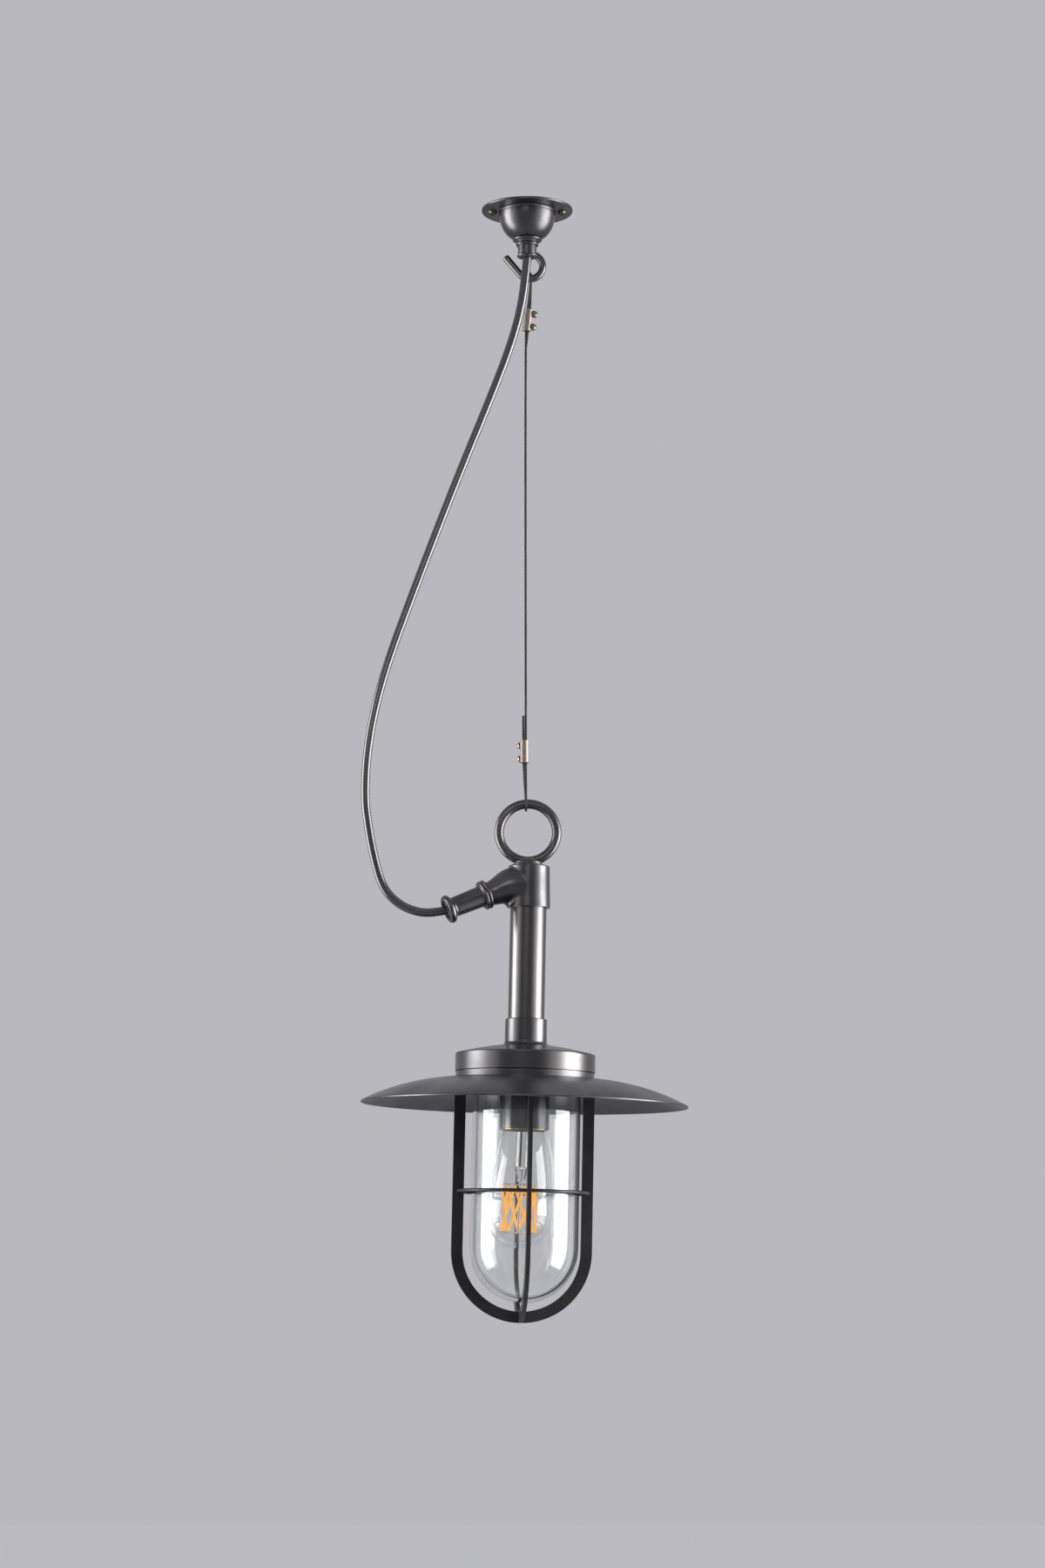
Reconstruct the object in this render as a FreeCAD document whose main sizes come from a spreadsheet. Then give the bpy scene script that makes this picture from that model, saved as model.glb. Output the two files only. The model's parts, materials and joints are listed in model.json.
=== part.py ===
import FreeCAD, Part
import math
import os
import Sketcher

# A well glass pendant light on a ceiling hook plate, in millimetres.
# The origin is the centre of the plate's ceiling face, +Z is up, and -Y is the viewer's side.
# The lamp has a frame of its own: its origin is the centre of the lifting eye and it hangs
# a little out of plumb, so levels of the lamp are heights in that frame.

Vector = FreeCAD.Vector
Rotation = FreeCAD.Rotation
Placement = FreeCAD.Placement

sizes = {
    # fits
    "running_gap": 0.3,
    "seat_gap": 0.1,
    "fit_gap": 0.05,
    "thread_gap": 0.2,
    "overrun": 2.0,
    # ceiling hook plate
    "rose_radius": 45.0,
    "rose_flange": 2.2,
    "rose_edge": 1.0,
    "rose_cove": 1.5,
    "rose_dome_radius": 28.0,
    "rose_dome_side_drop": 16.0,
    "rose_dome_side_radius": 25.7,
    "rose_dome_side_bulge": 0.5,
    "rose_dome_depth": 29.6,
    "rose_dome_bulge": 1.7,
    "rose_cavity_depth": 19.0,
    "rose_wall": 2.0,
    "rose_upper_bead_radius": 14.3,
    "rose_upper_bead": 2.6,
    "rose_lower_bead_radius": 11.0,
    "rose_lower_bead_drop": 34.6,
    "rose_lower_bead": 2.6,
    "rose_neck_radius": 9.2,
    "rose_neck_drop": 48.5,
    "rose_lip": 2.4,
    "rose_neck_bore": 7.0,
    "rose_screw_circle": 34.0,
    "rose_screw_hole": 2.4,
    # the two screws of the plate
    "wood_screw_head": 4.5,
    "wood_screw_head_height": 3.3,
    "wood_screw_shank": 2.1,
    "wood_screw_length": 12.0,
    "wood_screw_point": 3.0,
    "screw_slot": 1.1,
    # hook
    "hook_plane": 14.5,
    "hook_rod": 3.6,
    "hook_bowl_side": 2.7,
    "hook_bowl_drop": 53.5,
    "hook_bowl_radius": 12.6,
    "hook_bend_radius": 7.0,
    "hook_arm": 23.4,
    "hook_stud_top": 11.0,
    "hook_tip_round": 2.2,
    "hook_hole_gap": 0.15,
    "nut_width": 11.0,
    "nut_height": 5.0,
    # bush and terminal block inside the plate
    "bush_height": 12.0,
    "flex_end_gap": 0.5,
    "bush_head": 1.4,
    "terminal_length": 22.0,
    "terminal_width": 9.5,
    "terminal_height": 12.0,
    "terminal_wall": 1.0,
    "terminal_pitch": 7.0,
    "terminal_bore": 1.9,
    "terminal_screw": 1.7,
    "terminal_screw_depth": 5.0,
    # flex
    "flex_radius": 4.25,
    "flex_depth": 20.0,
    # wire rope and its clamps
    "rope_radius": 1.2,
    "rope_strand_gap": 0.1,
    "rope_bend": 12.0,
    "rope_leg": 7.0,
    "upper_tail": 15.5,
    "upper_tail_front": 2.7,
    "lower_tail": 24.0,
    "rope_hook_shift": 0.9,
    "rope_eye_shift": -1.9,
    "grip_radius": 4.3,
    "grip_length": 22.5,
    "grip_edge": 0.5,
    "upper_grip_shift": -2.2,
    "upper_grip_fall": 42.2,
    "lower_grip_shift": -3.3,
    "lower_grip_rise": 51.5,
    "grip_screw_pitch": 13.0,
    "grip_screw_head": 3.3,
    "grip_screw_head_height": 5.0,
    "grip_screw_shank": 1.5,
    # place of the lamp: its eye hangs in the rope, a little to the side of the lamp's axis
    "eye_side": 0.6,
    "eye_drop": 619.4,
    "lamp_side": 1.9,
    "eye_foot_side": 0.9,
    # lifting eye
    "eye_radius": 27.9,
    "eye_rod": 4.6,
    "eye_foot_radius": 16.0,
    "eye_foot_rim": 0.8,
    "eye_foot_waist": 13.8,
    "eye_foot_waist_rise": 3.2,
    "eye_foot_height": 7.0,
    "eye_foot_neck": 7.0,
    "eye_stud_radius": 5.0,
    "eye_stud_length": 7.0,
    # entry cap
    "cap_height": 40.5,
    "cap_top_radius": 19.9,
    "cap_bottom_radius": 21.1,
    "cap_top_round": 1.8,
    "cap_roof": 6.0,
    "cap_hollow_radius": 14.0,
    "cap_socket_depth": 17.0,
    "branch_drop": 43.7,
    "branch_end": 47.8,
    "branch_end_radius": 11.2,
    "branch_web_edge": 1.0,
    "branch_bore": 8.2,
    "branch_bead": 3.4,
    "branch_bead_rise": 1.3,
    "branch_bead_radius": 14.4,
    "branch_fillet": 5.0,
    # cable gland
    "gland_length": 41.1,
    "gland_root_radius": 10.3,
    "gland_tip_radius": 9.5,
    "gland_bead": 3.2,
    "gland_bead_rise": 1.1,
    "gland_bead_radius": 14.2,
    "gland_ring": 5.6,
    "gland_ring_rise": 1.5,
    "gland_ring_radius": 13.9,
    "gland_flare": 3.0,
    "gland_flex_gap": 1.6,
    "gland_spigot_length": 12.0,
    "gland_mouth_radius": 9.6,
    "gland_mouth_depth": 6.0,
    "gland_bore": 5.4,
    "gland_seal_height": 4.2,
    "gland_washer": 0.9,
    "gland_washer_radius": 7.4,
    # stem tube
    "stem_radius": 17.5,
    "stem_wall": 2.5,
    "stem_exposed": 107.7,
    "socket_depth": 18.5,
    # gallery: the domed casting that carries lampholder, glass and guard
    "collar_radius": 20.1,
    "collar_height": 20.6,
    "collar_edge": 0.8,
    "collar_foot": 5.0,
    "dish_rise": 7.8,
    "dish_bulge": 0.6,
    "dish_edge": 2.0,
    "dish_side": 15.5,
    "dish_skirt": 3.9,
    "gallery_web": 10.0,
    "gallery_seat_rise": 2.4,
    "gallery_seat_reach": 5.3,
    "gallery_throat_step": 8.7,
    # glass and its gasket
    "gasket_height": 3.0,
    "gasket_step": 1.1,
    "jar_radius": 52.0,
    "jar_wall": 4.4,
    "jar_rim_reach": 6.5,
    "jar_rim": 5.8,
    "jar_rim_round": 1.1,
    "jar_straight": 173.2,
    "jar_side": 2.2,
    # retaining ring
    "ring_step": 0.7,
    "ring_height": 6.3,
    "ring_bore_gap": 1.2,
    "ring_rim_gap": 0.5,
    "ring_wall": 1.9,
    "ring_thread": 11.5,
    "ring_edge": 0.7,
    # shade
    "shade_radius": 157.5,
    "shade_depth": 24.6,
    "shade_sheet": 1.6,
    "shade_hub_reach": 8.5,
    "shade_bulge": 5.3,
    "shade_lip": 0.8,
    # guard
    "guard_flange": 3.0,
    "guard_flange_reach": 7.5,
    "guard_jar_gap": 4.5,
    "guard_depth": 10.8,
    "guard_thick": 4.0,
    "guard_foot_drop": 3.6,
    "guard_ring_drop": 103.5,
    "guard_ring_reach": 5.5,
    "guard_ring_wire": 1.7,
    "guard_screw_reach": 4.7,
    "guard_screw_shank": 1.9,
    "guard_screw_head": 3.6,
    "guard_screw_head_height": 2.4,
    "guard_screw_depth": 4.5,
    # lampholder
    "nipple_radius": 6.4,
    "nipple_bore": 4.6,
    "nipple_top": 7.0,
    "shell_gap": 17.2,
    "shell_radius": 24.0,
    "shell_wall": 1.2,
    "shell_height": 60.0,
    "shell_shoulder": 6.0,
    "core_radius": 20.2,
    "core_top": 2.2,
    "core_shoulder": 8.0,
    "core_rise": 7.8,
    "core_socket": 30.0,
    "sleeve_radius": 14.8,
    "sleeve_wall": 1.2,
    "sleeve_flange": 17.5,
    "sleeve_flange_height": 1.0,
    "contact_radius": 5.0,
    "skirt_height": 26.0,
    "skirt_wall": 2.2,
    "skirt_show": 1.0,
    # lamp bulb
    "bulb_hold": 33.4,
    "bulb_tip_radius": 3.6,
    "bulb_tip_height": 2.0,
    "insulator_height": 3.4,
    "insulator_radius": 9.4,
    "bulb_cap_crest": 13.1,
    "bulb_cap_groove": 0.9,
    "bulb_cap_height": 22.0,
    "bulb_cap_wall": 0.5,
    "bulb_thread_pitch": 3.629,
    "bulb_neck_radius": 11.4,
    "bulb_neck_hold": 5.0,
    "bulb_neck_show": 0.8,
    "bulb_shoulder_radius": 19.8,
    "bulb_shoulder_drop": 8.2,
    "bulb_ball_radius": 32.0,
    "bulb_ball_drop": 87.0,
    "bulb_flank_bulge": 1.6,
    "bulb_glass_wall": 0.9,
    "bulb_stem_radius": 7.0,
    "bulb_stem_drop": 56.0,
    "bulb_stem_tip": 3.6,
    "bulb_stem_wall": 1.2,
    "filament_radius": 1.2,
    "filament_top_drop": 60.4,
    "filament_height": 42.5,
    "filament_outer": 17.6,
    "filament_inner": 14.6,
    "support_wire": 0.45,
    "support_bend": 1.0,
    "support_reach": 1.6,
    "support_gap": 0.17,
    "support_post": 1.2,
    "support_hub": 2.0,
}

angles = {
    "lamp_tilt_angle": 1.15,
    "guard_turn_angle": 5.5,
    "branch_angle": 23.7,
    "branch_turn_angle": 15.0,
    "hook_join_angle": 75.0,
    "hook_arm_angle": 50.5,
    "hook_nut_angle": 30.0,
    "rose_slot_angle": 40.0,
    "upper_grip_lean_angle": 6.0,
    "lower_grip_lean_angle": 0.0,
    "upper_screw_angle": 0.0,
    "lower_screw_angle": 130.0,
    "bulb_lean_angle": 2.2,
    "filament_twist_angle": 54.0,
}

filament_pair_count = 5
guard_screw_count = 4
bulb_thread_count = 5

# The flex between the neck of the plate and the mouth of the gland: shares of the way across, of
# the depth that it bows to the front, and of the way down.
flex_shares = [
    (0.024, -0.030, 0.031),
    (0.072, -0.095, 0.076),
    (0.183, -0.190, 0.130),
    (0.405, -0.320, 0.205),
    (0.894, -0.510, 0.353),
    (1.387, -0.710, 0.512),
    (1.789, -0.865, 0.648),
    (1.971, -0.950, 0.747),
    (2.013, -0.990, 0.832),
    (1.959, -0.995, 0.882),
    (1.885, -0.975, 0.926),
    (1.8030, -0.940, 0.9612),
    (1.6990, -0.885, 0.9803),
    (1.5520, -0.795, 0.9948),
    (1.3757, -0.660, 1.0033),
    (1.1852, -0.495, 1.0051),
]

# The cast web from the middle of the entry cap to the bead of its branch: shares of the way
# out, of the way down, of the taper and of the branch's lean.
web_shares = [
    (0.00, 0.00, 0.00, 0.00),
    (0.27, 0.00, 0.05, 0.00),
    (0.49, 0.01, 0.24, 0.20),
    (0.76, 0.55, 0.68, 0.66),
    (1.00, 1.00, 1.00, 1.00),
]

# Shares chosen by hand.
arc_share = 0.45
wrap_share = 0.99
flex_bend_share = 4
terminal_depth_share = 0.5
quarter_share = 1 - math.cos(math.radians(45))

# The rope's ring round a rod, in degrees: where its legs leave it, and the turn at each corner.
wrap_start = -8
wrap_turn = 49

doc = FreeCAD.newDocument("WellGlassPendant")
sheet = doc.addObject("Spreadsheet::Sheet", "Sizes")


class Size:
    # A size of the sheet, or a sum worked out from such sizes: its formula and its value.
    def __init__(self, text, value):
        self.text = text
        self.value = value

    def __add__(self, other):
        other = as_size(other)
        return Size(f"({self.text} + {other.text})", self.value + other.value)

    def __radd__(self, other):
        return as_size(other) + self

    def __sub__(self, other):
        other = as_size(other)
        return Size(f"({self.text} - {other.text})", self.value - other.value)

    def __rsub__(self, other):
        return as_size(other) - self

    def __mul__(self, other):
        other = as_size(other)
        return Size(f"({self.text} * {other.text})", self.value * other.value)

    def __rmul__(self, other):
        return as_size(other) * self

    def __truediv__(self, other):
        other = as_size(other)
        return Size(f"({self.text} / {other.text})", self.value / other.value)

    def __neg__(self):
        return Size(f"(0 - {self.text})", -self.value)

    def __float__(self):
        return float(self.value)


def as_size(thing):
    if isinstance(thing, Size):
        return thing
    return Size(f"({float(thing)!r})", float(thing))


def sine(angle):
    return Size(f"sin({angle.text})", math.sin(math.radians(angle.value)))


def cosine(angle):
    return Size(f"cos({angle.text})", math.cos(math.radians(angle.value)))


class Sheet:
    # The sheet's cells by name.
    pass


def fill_sheet():
    cells = Sheet()
    for row, (name, number) in enumerate({**sizes, **angles}.items(), start=1):
        sheet.set(f"A{row}", name)
        sheet.set(f"B{row}", repr(number))
        sheet.setAlias(f"B{row}", name)
        setattr(cells, name, Size(f"Sizes.{name}", float(number)))
    doc.recompute()
    return cells


at = fill_sheet()


# Frames
def spot(x, y, z):
    return Vector(float(x), float(y), float(z))


def turn_about(axis, angle):
    return Rotation(axis, float(angle))


def turned_by(axis, angle):
    return Placement(Vector(), turn_about(axis, angle))


x_axis = Vector(1, 0, 0)
y_axis = Vector(0, 1, 0)
z_axis = Vector(0, 0, 1)
at_origin = Placement()
hook_frame = Placement(spot(0, at.hook_plane, 0), Rotation())
eye_frame = Placement(spot(at.eye_side, at.hook_plane, -at.eye_drop), turn_about(y_axis, at.lamp_tilt_angle))
eye_foot_frame = eye_frame * Placement(spot(at.eye_foot_side, 0, 0), Rotation())
lamp_frame = eye_frame * Placement(spot(at.lamp_side, 0, 0), Rotation())
guard_frame = lamp_frame * turned_by(z_axis, at.guard_turn_angle)
jar_frame = lamp_frame * Placement(spot(at.jar_side, 0, 0), Rotation())

# Widths that follow the jar.
jar_bore = at.jar_radius - at.jar_wall
jar_rim_radius = at.jar_radius + at.jar_rim_reach
ring_bore = at.jar_radius + at.jar_side + at.ring_bore_gap
ring_inner = jar_rim_radius + at.jar_side + at.ring_rim_gap
ring_thread_radius = ring_inner + at.ring_wall
skirt_bore = ring_thread_radius + at.thread_gap
dish_radius = skirt_bore + at.dish_skirt
guard_inner = at.jar_radius + at.guard_jar_gap
guard_radius = guard_inner + at.guard_depth
guard_ring_radius = guard_inner + at.guard_ring_reach
shade_hub = guard_inner + at.shade_hub_reach

# Levels of the lamp, from the centre of the eye down.
cap_top = -(at.eye_radius + at.eye_rod)
cap_bottom = cap_top - at.cap_height
branch_level = -at.branch_drop
collar_top = cap_bottom - at.stem_exposed
collar_bottom = collar_top - at.collar_height
dish_shoulder = collar_bottom - at.collar_foot
dish_edge_level = dish_shoulder - at.dish_rise
dish_bottom = dish_edge_level - at.dish_edge - at.dish_side
web_top = collar_top - at.socket_depth
web_bottom = web_top - at.gallery_web
gallery_seat = dish_edge_level - at.gallery_seat_rise
jar_top = gallery_seat - at.seat_gap - at.gasket_height
jar_ledge = jar_top - at.jar_rim
ring_top = dish_bottom - at.seat_gap
ring_bottom = ring_top - at.ring_height
shade_bottom = ring_bottom - at.shade_sheet
shade_rim = ring_bottom - at.shade_depth
flange_bottom = shade_bottom - at.guard_flange
jar_centre = jar_ledge - at.jar_straight
guard_centre = jar_centre - at.guard_foot_drop
guard_ring_level = flange_bottom - at.guard_ring_drop
shell_top = web_bottom - at.shell_gap
shell_bottom = shell_top - at.shell_height
core_top = shell_top - at.core_top
core_bottom = shell_bottom + at.core_rise
core_roof_level = core_bottom + at.core_socket
bulb_top = shell_bottom + at.bulb_hold
bulb_cap_top = bulb_top - at.bulb_tip_height - at.insulator_height
bulb_cap_bottom = bulb_cap_top - at.bulb_cap_height
bulb_shoulder = bulb_cap_bottom - at.bulb_shoulder_drop
bulb_centre = bulb_cap_bottom - at.bulb_ball_drop
filament_top = bulb_cap_bottom - at.filament_top_drop
filament_bottom = filament_top - at.filament_height
cap_end_frame = lamp_frame * Placement(spot(0, 0, bulb_cap_bottom), Rotation())
leaning_frame = cap_end_frame * turned_by(y_axis, at.bulb_lean_angle)
bulb_frame = leaning_frame * Placement(spot(0, 0, -bulb_cap_bottom), Rotation())


# Drawing
def bind(thing, path, size):
    thing.setExpression(path, as_size(size).text)


def new_body(name, place):
    body = doc.addObject("PartDesign::Body", name)
    body.Label = name
    body.Placement = place
    return body


def origin_plane(body, role):
    for feature in body.Origin.OriginFeatures:
        if feature.Role == role:
            return feature
    raise ValueError(role)


def new_sketch(body, role, name, level=None):
    sketch = body.newObject("Sketcher::SketchObject", name)
    sketch.AttachmentSupport = [(origin_plane(body, role), "")]
    sketch.MapMode = "FlatFace"
    if level is not None:
        sketch.AttachmentOffset = Placement(spot(0, 0, level), Rotation())
        bind(sketch, "AttachmentOffset.Base.z", level)
    return sketch


def arc_radius(start, end, bulge):
    across = end[0] - start[0]
    along = end[1] - start[1]
    return ((across * across + along * along) * 0.25 + bulge * bulge) / (bulge * 2.0)


def add_edge(sketch, start, end, bulge):
    # A straight edge, or an arc that stands out of its chord by the bulge: to the right of
    # the way from start to end where the bulge is positive, to the left where it is negative.
    here = Vector(float(start[0]), float(start[1]), 0)
    there = Vector(float(end[0]), float(end[1]), 0)
    if bulge is None:
        number = sketch.addGeometry(Part.LineSegment(here, there), False)
        return number, (1, 2)
    radius = arc_radius(start, end, bulge)
    chord = there - here
    side = Vector(-chord.y, chord.x, 0).normalize()
    centre = (here + there) * 0.5 + side * (float(radius) - float(bulge))
    circle = Part.Circle(centre, z_axis, abs(float(radius)))
    ends = (here, there) if float(bulge) > 0 else (there, here)
    first, last = [math.atan2(end_point.y - centre.y, end_point.x - centre.x) for end_point in ends]
    number = sketch.addGeometry(Part.ArcOfCircle(circle, first, last), False)
    sign = 1.0 if float(bulge) > 0 else -1.0
    index = sketch.addConstraint(Sketcher.Constraint("Radius", number, abs(float(radius))))
    bind(sketch, f"Constraints[{index}]", radius * sign)
    return number, ((1, 2) if float(bulge) > 0 else (2, 1))


def pin_point(sketch, number, end, corner):
    for kind, size, axis in (("DistanceX", corner[0], -2), ("DistanceY", corner[1], -1)):
        if float(size) == 0.0:
            sketch.addConstraint(Sketcher.Constraint("PointOnObject", number, end, axis))
        else:
            index = sketch.addConstraint(
                Sketcher.Constraint(kind, -1, 1, number, end, float(size)))
            bind(sketch, f"Constraints[{index}]", size)


def draw(sketch, corners, closed=True):
    # Each corner is (across, along), and a third entry makes the edge after it an arc.
    spans = len(corners) if closed else len(corners) - 1
    edges = []
    for index in range(spans):
        start = corners[index]
        end = corners[(index + 1) % len(corners)]
        bulge = start[2] if len(start) > 2 else None
        edges.append(add_edge(sketch, start, end, bulge))
    for index in range(spans):
        number, (first, last) = edges[index]
        pin_point(sketch, number, first, corners[index])
        following = (index + 1) % len(corners)
        if following < spans or closed:
            next_number, (next_first, _) = edges[following]
            sketch.addConstraint(
                Sketcher.Constraint("Coincident", number, last, next_number, next_first))
        else:
            pin_point(sketch, number, last, corners[following])


def draw_circle(sketch, across, along, radius):
    centre = Vector(float(across), float(along), 0)
    number = sketch.addGeometry(Part.Circle(centre, z_axis, float(radius)), False)
    index = sketch.addConstraint(Sketcher.Constraint("Radius", number, float(radius)))
    bind(sketch, f"Constraints[{index}]", radius)
    pin_point(sketch, number, 3, (as_size(across), as_size(along)))


def hexagon(across_flats):
    corner = across_flats * (1 / math.sqrt(3))
    return [(corner * math.cos(math.radians(60 * step)), corner * math.sin(math.radians(60 * step)))
            for step in range(6)]


def revolve(body, corners, name):
    sketch = new_sketch(body, "XZ_Plane", name + "_outline")
    draw(sketch, corners)
    turn = body.newObject("PartDesign::Revolution", name + "_turn")
    turn.Profile = sketch
    turn.ReferenceAxis = (sketch, ["V_Axis"])
    turn.Angle = 360
    return turn


def turned(name, place, corners):
    body = new_body(name, place)
    revolve(body, corners, name)
    return body


def pad(body, sketch, length, name, both=False):
    feature = body.newObject("PartDesign::Pad", name)
    feature.Profile = sketch
    if both:
        feature.Midplane = True
    feature.Length = float(length)
    bind(feature, "Length", length)
    return feature


def pocket_through(body, sketch, name):
    # Cuts right through the body on both sides of the sketch.
    feature = body.newObject("PartDesign::Pocket", name)
    feature.Profile = sketch
    feature.Midplane = True
    feature.Type = 1
    return feature


def pocket_deep(body, sketch, depth, name, upwards):
    feature = body.newObject("PartDesign::Pocket", name)
    feature.Profile = sketch
    feature.Length = float(depth)
    feature.Reversed = upwards
    bind(feature, "Length", depth)
    return feature


def round_edges(body, base, chosen, radius, name):
    doc.recompute()
    names = [f"Edge{index}" for index, edge in enumerate(base.Shape.Edges, start=1) if chosen(edge)]
    feature = body.newObject("PartDesign::Fillet", name)
    feature.Base = (base, names)
    feature.Radius = float(radius)
    bind(feature, "Radius", radius)
    return feature


def gather(name, pieces):
    # Identical pieces share one node as separate solids.
    group = doc.addObject("Part::Compound", name + "_group")
    group.Links = pieces
    group.Label = name
    return group


def solid_from(name, shape):
    feature = doc.addObject("Part::Feature", name + "_solid")
    feature.Shape = shape
    feature.Placement = Placement()
    feature.Label = name
    return feature


def part_object(kind, name, place, **lengths):
    thing = doc.addObject(kind, name)
    for key, size in lengths.items():
        bind(thing, key, size)
    thing.Placement = place
    return thing


def fused(name, pieces):
    thing = doc.addObject("Part::MultiFuse", name)
    thing.Shapes = pieces
    return thing


def cut(name, base, tool):
    thing = doc.addObject("Part::Cut", name)
    thing.Base = base
    thing.Tool = tool
    return thing


# Cords
def corner_radius(before, here, after):
    inward = here - before
    outward = after - here
    turn = inward.getAngle(outward)
    return arc_share * min(inward.Length, outward.Length) / math.tan(turn / 2)


def cord_path(points, radii):
    # Straight runs joined by tangent arcs. The two end points have no radius.
    edges = []
    last = points[0]
    for before, here, after, radius in zip(points, points[1:], points[2:], radii):
        inward = (here - before).normalize()
        outward = (after - here).normalize()
        half = inward.getAngle(outward) / 2
        reach = radius * math.tan(half)
        first = here - inward * reach
        end = here + outward * reach
        towards = (outward - inward).normalize()
        middle = here + towards * (radius / math.cos(half) - radius)
        if (first - last).Length > 1e-6 * radius:
            edges.append(Part.LineSegment(last, first).toShape())
        edges.append(Part.Arc(first, middle, end).toShape())
        last = end
    edges.append(Part.LineSegment(last, points[-1]).toShape())
    return Part.Wire(edges)


def tube_along(name, points, radii, radius):
    path = cord_path(points, radii)
    start = points[0]
    heading = (points[1] - points[0]).normalize()
    section = Part.Wire([Part.makeCircle(radius, start, heading)])
    tube = path.makePipeShell([section], True, False)
    expected = math.pi * radius * radius * path.Length
    print(f"{name}: length {path.Length:.1f}, tightest radius {min(radii):.1f}, "
          f"volume {tube.Volume:.1f} of {expected:.1f}")
    return tube


def free_radii(points):
    return [corner_radius(before, here, after)
            for before, here, after in zip(points, points[1:], points[2:])]


# Ceiling hook plate
def make_ceiling_rose():
    dome_end = -at.rose_dome_depth
    upper_bead_end = dome_end - at.rose_upper_bead
    lower_bead_top = -at.rose_lower_bead_drop
    lower_bead_end = lower_bead_top - at.rose_lower_bead
    upper_root = at.rose_upper_bead_radius - at.rose_upper_bead * 0.3
    lower_root = at.rose_lower_bead_radius - at.rose_lower_bead * 0.3
    neck_end = -at.rose_neck_drop
    lip_top = neck_end + at.rose_lip
    cavity_floor = -at.rose_cavity_depth
    cavity_top_radius = at.rose_dome_side_radius - at.rose_wall
    cavity_floor_radius = cavity_top_radius - at.rose_wall
    outline = [
        (at.rose_neck_bore, neck_end),
        (at.rose_neck_radius, neck_end, at.rose_lip * 0.35),
        (at.rose_neck_radius, lip_top),
        (at.rose_neck_radius, lower_bead_end),
        (lower_root, lower_bead_end, at.rose_lower_bead * 0.35),
        (lower_root, lower_bead_top),
        (upper_root - at.rose_upper_bead * 0.4, upper_bead_end),
        (upper_root, upper_bead_end, at.rose_upper_bead * 0.35),
        (upper_root, dome_end),
        (at.rose_upper_bead_radius, dome_end, at.rose_dome_bulge),
        (at.rose_dome_side_radius, -at.rose_dome_side_drop, at.rose_dome_side_bulge),
        (at.rose_dome_radius, -at.rose_flange - at.rose_cove, -(at.rose_cove * quarter_share)),
        (at.rose_dome_radius + at.rose_cove, -at.rose_flange),
        (at.rose_radius - at.rose_edge, -at.rose_flange, at.rose_edge * 0.3),
        (at.rose_radius, -at.rose_flange + at.rose_edge),
        (at.rose_radius, as_size(0)),
        (cavity_top_radius, as_size(0)),
        (cavity_top_radius, cavity_floor * 0.5),
        (cavity_floor_radius, cavity_floor),
        (at.rose_neck_bore, cavity_floor),
    ]
    body = turned("ceiling_rose", at_origin, outline)
    holes = new_sketch(body, "XY_Plane", "ceiling_rose_holes")
    draw_circle(holes, at.rose_screw_circle, 0, at.rose_screw_hole)
    draw_circle(holes, -at.rose_screw_circle, 0, at.rose_screw_hole)
    draw_circle(holes, hook_shank_side(), at.hook_plane, at.hook_rod + at.hook_hole_gap)
    pocket_through(body, holes, "ceiling_rose_drilling")
    return body


def hook_shank_side():
    reach = at.hook_bowl_radius + at.hook_bend_radius
    return at.hook_bowl_side + reach * cosine(at.hook_join_angle) - at.hook_bend_radius


def round_head_screw(name, place, head, head_height, shank, length, point, neck=None):
    # The head's flat side lies at the origin with the shank going up, and the slot is below.
    # A neck is a wider stretch of shank under the head, given as its radius and its length.
    under_head = [(shank, as_size(0))]
    if neck:
        under_head = [(neck[0], as_size(0)), neck, (shank, neck[1])]
    tip = [(shank, length - point), (as_size(0), length)]
    dome = [(as_size(0), -head_height, head_height * 0.32), (head, as_size(0))]
    body = turned(name, place, dome + under_head + tip)
    slot = new_sketch(body, "XZ_Plane", name + "_slot")
    half = at.screw_slot * 0.5
    floor = -head_height * 0.6
    draw(slot, [(-half, -head_height * 2.0), (half, -head_height * 2.0), (half, floor), (-half, floor)])
    pocket_through(body, slot, name + "_slot_cut")
    return body


def make_rose_screws():
    neck = (at.rose_screw_hole - at.fit_gap, at.rose_flange + at.running_gap)
    screws = []
    for side, sign in (("left", -1.0), ("right", 1.0)):
        place = Placement(spot(at.rose_screw_circle * sign, 0, -at.rose_flange),
                          turn_about(z_axis, at.rose_slot_angle * sign))
        screws.append(round_head_screw(
            f"rose_screw_{side}", place, at.wood_screw_head, at.wood_screw_head_height,
            at.wood_screw_shank, at.wood_screw_length, at.wood_screw_point, neck))
    return gather("rose_screws", screws)


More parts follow.
